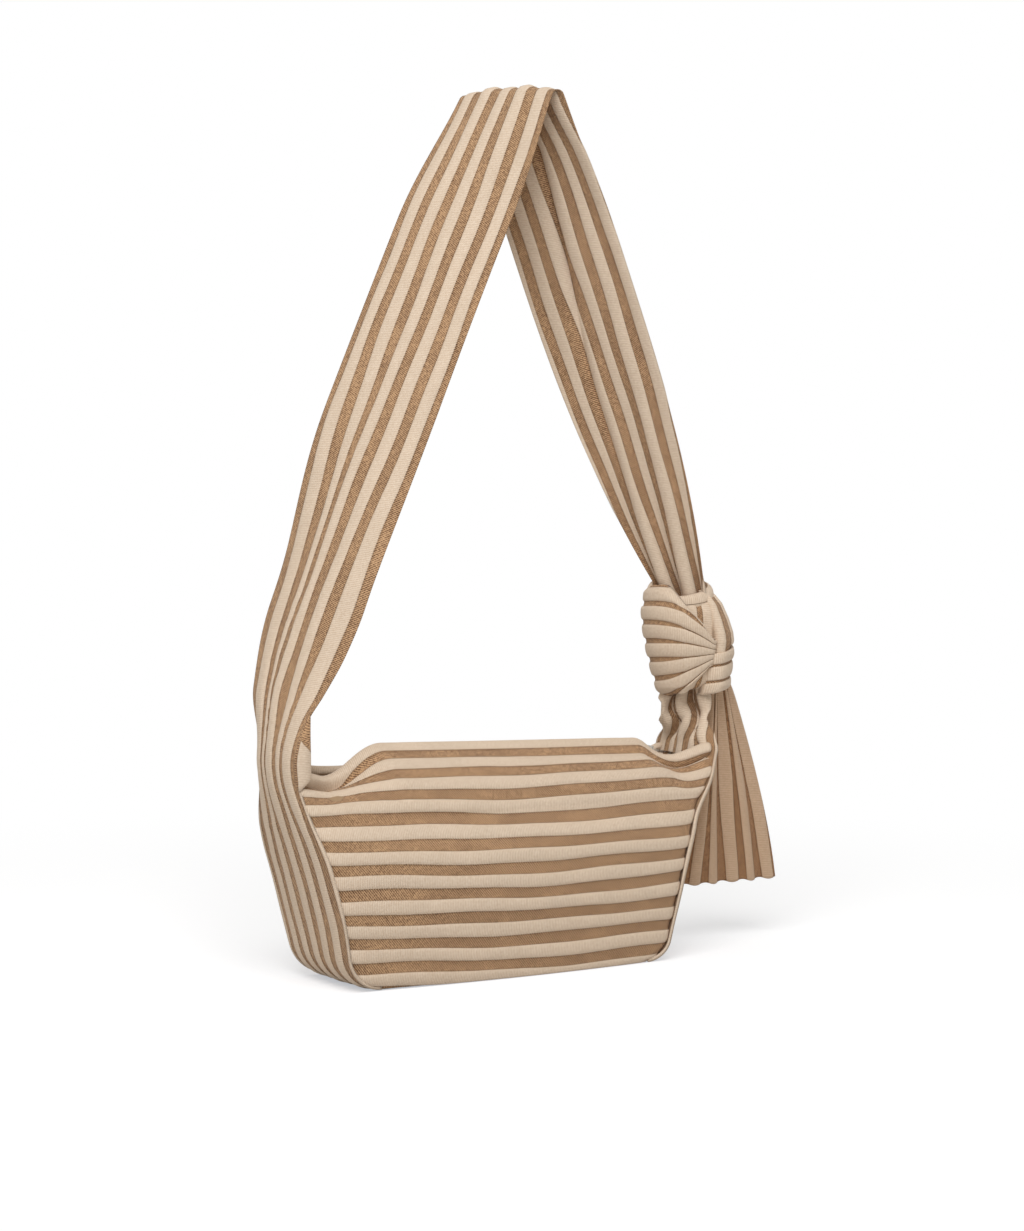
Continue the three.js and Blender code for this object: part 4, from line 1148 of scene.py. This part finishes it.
def knot_collar():
    """The rolled edge that lies round the strap where it enters the knot, low in front and high behind."""
    rows, columns = COLLAR_GRID
    turn = np.linspace(0, FULL_TURN, rows, endpoint=False)[:, None]
    section = np.linspace(0, FULL_TURN, columns, endpoint=False)
    side, front = knot_direction(90), knot_direction(0)
    ring = np.cos(turn) * side * COLLAR_HALF[0] + np.sin(turn) * front * COLLAR_HALF[1]
    rise = COLLAR_RISE - COLLAR_TILT * np.sin(turn[:, 0])
    centres = ring + side * COLLAR_SHIFT + joined(KNOT_X, 0, rise + KNOT_Z)
    outward = ring / np.linalg.norm(ring, axis=-1, keepdims=True)
    radii = COLLAR_RADIUS + COLLAR_SWELL * np.sin(2 * turn + COLLAR_SWELL_START)
    points = centres[:, None] + outward[:, None] * (radii * np.cos(section))[..., None]
    points = points + np.array([0, 0, COLLAR_OVAL]) * (radii * np.sin(section))[..., None]
    corner = np.arange(rows)[:, None] * columns + np.arange(columns)
    beside = np.roll(corner, -1, axis=1)
    faces = np.stack([corner, np.roll(corner, -1, 0), np.roll(beside, -1, 0), beside], -1).reshape(-1, 4)
    place = joined(turn * COLLAR_ALONG, section / FULL_TURN + COLLAR_RIB, COLLAR_SHARE)
    piece = mesh_piece("knot_collar_knit", points, faces.tolist(), knit, place)
    dress(piece, "strap")


def knot_core():
    """The bunched fabric inside the knot."""
    rows, columns = CORE_GRID
    turn = np.linspace(0, FULL_TURN, columns)
    rise = np.linspace(-1, 1, rows)[:, None]
    stripes = turn * CORE_RIBS / FULL_TURN + 0 * rise
    ripple = 1 + CORE_RIPPLE * np.cos(FULL_TURN * stripes)
    reach = CORE_RADIUS * np.sqrt(np.maximum(0.0, 1 - rise**CORE_POWER)) * ripple
    points = joined(reach * np.cos(turn), reach * np.sin(turn), rise * CORE_HALF)
    points = points + (KNOT_X, 0, KNOT_Z - CORE_DROP)
    place = joined(rise * CORE_HALF, stripes, CORE_SHARE)
    piece = mesh_piece("knot_core_knit", points, grid_faces(rows, columns).tolist(), knit, place)
    dress(piece, "strap", "knot_core")


knot_wrap()
knot_loop()
knot_fall()
knot_collar()
knot_core()


# Tail

def tail():
    """The loose end of the strap, pinched under the knot and spreading to a scalloped hem."""
    rises = np.linspace(1, 0, TAIL_GRID[0])[:, None]
    shares = np.linspace(-1, 1, TAIL_GRID[1])
    spread = mix(rises, np.sin(rises * math.pi / 2), TAIL_SPREAD)
    half = mix(*TAIL_WIDTH, spread) / 2
    waist = 1 - TAIL_WAIST * np.sin(math.pi * mix(TAIL_WAIST_START, 1, rises)) * smooth(-shares)
    stripes = shares * TAIL_STRIPES + TAIL_SHIFT + 0 * rises
    fold = TAIL_FOLD * np.sin(math.pi * np.sqrt(rises) * TAIL_FOLD_RISE)
    wave = fold * np.cos(TAIL_FOLDS * math.pi * shares + TAIL_FOLD_LAG * rises)
    scallop = TAIL_SCALLOP * np.cos(FULL_TURN * stripes) * ramp(rises, TAIL_SCALLOP_SPAN)
    x, y, z = [mix(top, hem, rises) for top, hem in zip(TAIL_TOP, TAIL_HEM)]
    grid = joined(x + half * waist * shares, y + wave, z - scallop)
    squeeze = half / (TAIL_STRIPES * PITCH)
    share = np.clip(CREAM_SHARE / squeeze, CREAM_SHARE, TAIL_SHARE_MOST) + 0 * shares
    piece = ribbed("tail_knit", grid, rises * TAIL_LENGTH, stripes, share, TAIL_CORE)
    # Painted shade: the tail's knit is darkened and warmed, standing in for the shade it hangs in behind
    # the bag.
    shade = piece.data.attributes.new("shade", "FLOAT", "POINT")
    shade.data.foreach_set("value", np.full(len(piece.data.vertices), TAIL_PAINTED_SHADE, np.float32))
    dress(piece, "tail", "tail")


tail()


# Lining and zip

def lining():
    """Plain cloth inside the panels and, as one strip, inside the side bands and the base."""
    grid, depths, _ = panel_rows(False)
    kept = grid[(depths[:, 0] > LINING_BELOW_RIM) & (grid[:, 0, 2] > LINING_INSET)]
    kept = kept[:, LINING_MARGIN:-LINING_MARGIN]
    normal = grid_normals(kept)
    near = kept - normal * (RIB_HEIGHT + LINING_GAP)
    far = near - normal * LINING_THICKNESS
    for node, side in (("lining_front", 1), ("lining_back", -1)):
        faces = [part[:, ::side] * (1, side, 1) for part in (near, far)]
        dress(shell(node + "_cloth", *faces, lining_cloth), "bag", node, slot="lining_cloth")
    heights = np.linspace(LINING_INSET, LINING_TOP, SIDE_STEPS)
    sides = [joined(side * half_width(heights, LINING_INSET, side), heights) for side in (-1, 1)]
    line = even(np.vstack([sides[0][::-1], sides[1]]), LINING_STEP)
    halves = band_depth(line[:, 1]) - LINING_INSET
    across = np.linspace(-1, 1, LINING_COLUMNS) * halves[:, None]
    near = joined(line[:, :1], across, line[:, 1:])
    piece = shell("lining_band_cloth", near, near - grid_normals(near) * LINING_THICKNESS, lining_cloth)
    dress(piece, "bag", "lining_band", slot="lining_cloth")


def zip_tapes():
    """Woven tapes along the arched mouth, sewn under the panels' rims."""
    x = np.linspace(-ZIP_HALF, ZIP_HALF, TAPE_GRID[0])[:, None]
    for node, side in (("zip_tape_front", -1), ("zip_tape_back", 1)):
        y = np.linspace(*TAPE_EDGES, TAPE_GRID[1])[::-side] * side
        z = zip_height(x) + TAPE_THICKNESS / 2 - TAPE_DROOP * (np.abs(y) - TAPE_EDGES[0]) ** 2
        top = joined(x, y, z)
        piece = shell(node + "_cloth", top, top - (0, 0, TAPE_THICKNESS), tape_cloth)
        dress(piece, "bag", node, slot="zip_tape")


def metal_blocks(node, centres, half):
    """Small blocks with bevelled edges, in one mesh."""
    b = BEVEL_SIDE
    ring = [(-1, -b), (-b, -1), (b, -1), (1, -b), (1, b), (b, 1), (-b, 1), (-1, b)]
    levels = [(-1, BEVEL_END), (-BEVEL_END, 1), (BEVEL_END, 1), (1, BEVEL_END)]
    block = np.array([(x * s, y * s, z) for z, s in levels for x, y in ring]) * half
    sides = [[8 * k + i, 8 * k + (i + 1) % 8, 8 * k + 8 + (i + 1) % 8, 8 * k + 8 + i]
             for k in range(3) for i in range(8)]
    faces = [list(range(8))[::-1], list(range(24, 32)), *sides]
    every = [[corner + 32 * k for corner in face] for k in range(len(centres)) for face in faces]
    piece = mesh_piece(node + "_metal", centres[:, None] + block[None], every, nickel, rounded=False)
    dress(piece, "bag", node, slot="zip_metal")


def zip_teeth():
    """Two staggered rows of metal teeth, and the stop at their left end."""
    places = np.arange(-TEETH_HALF, TEETH_HALF - TOOTH_PITCH / 2, TOOTH_PITCH)
    for node, side in (("zip_teeth_front", -1), ("zip_teeth_back", 1)):
        x = places + TOOTH_PITCH / 4 * (2 + side)
        metal_blocks(node, joined(x, side * TOOTH_Y, zip_height(x)), TOOTH_HALF)
    stop_x = np.array([-TEETH_HALF - STOP_GAP])
    metal_blocks("zip_bottom_stop", joined(stop_x, 0, zip_height(stop_x)), STOP_HALF)


lining()
zip_tapes()
zip_teeth()
for node in ("zip_top_stop_front", "zip_top_stop_back", "zip_slider", "zip_puller"):
    materials = frame["nodes"][node].data.materials
    materials.clear()
    materials.append(nickel)


# Stage, light and camera

def seen_directly(g):
    """1 for rays that show the backdrop, also in a mirror or through glass, and 0 for rays that light."""
    rays = g.node("LightPath").outputs
    seen = g.math("MAXIMUM", rays["Is Camera Ray"], rays["Is Glossy Ray"])
    return g.math("MAXIMUM", seen, rays["Is Transmission Ray"])


def stage():
    """A white floor that keeps the shadow near the object and runs out into the white background."""
    g = Graph(bpy.data.materials.new("floor_white"))
    g.tree.nodes.clear()
    seen = seen_directly(g)
    plain = g.node("BsdfDiffuse", FLOOR_TONE)
    lift = g.node("Emission", FLOOR_LIFT, seen)
    near = g.node("AddShader", plain.outputs[0], lift.outputs[0])
    reach = g.node("VectorMath", g.place(), operation="LENGTH")
    far = g.math("MULTIPLY", seen, g.ramp(reach.outputs["Value"], *FLOOR_FADE))
    white = g.node("Emission")
    mixed = g.node("MixShader", far, near.outputs[0], white.outputs[0])
    g.node("OutputMaterial", mixed.outputs[0])
    mesh = bpy.data.meshes.new("floor")
    half = FLOOR_HALF
    corners = [(-half, -half, 0), (half, -half, 0), (half, half, 0), (-half, half, 0)]
    mesh.from_pydata(corners, [], [(0, 1, 2, 3)])
    mesh.materials.append(g.owner)
    linked("floor", mesh)


def key_lamp():
    """A large round lamp, near enough that the strap's top gets more light than the base."""
    data = bpy.data.lights.new("key", "AREA")
    data.shape = "DISK"
    data.size = KEY_SIZE
    data.energy = KEY_POWER
    towards = Vector(KEY_FROM).normalized()
    made = linked("key", data)
    made.location = Vector(KEY_AIM) + towards * KEY_DISTANCE
    made.rotation_euler = towards.to_track_quat("Z", "Y").to_euler()


def world():
    """White where it is seen, and a weaker, warm light on the object."""
    g = Graph(bpy.data.worlds.new("studio"))
    g.put(g.tree.nodes["Background"].inputs["Color"], g.blend(seen_directly(g), AMBIENT, WHITE))
    bpy.context.scene.world = g.owner


def camera():
    data = bpy.data.cameras.new("camera")
    data.lens = CAMERA_LENS
    data.sensor_width = CAMERA_SENSOR
    data.clip_end = CAMERA_FAR
    made = linked("camera", data)
    made.location = CAMERA_PLACE
    made.rotation_euler = Euler((math.radians(90 + CAMERA_PITCH), 0, math.radians(-CAMERA_YAW)))
    bpy.context.scene.camera = made


stage()
key_lamp()
world()
camera()
bpy.context.scene.view_settings.view_transform = "Standard"

bpy.context.view_layer.update()
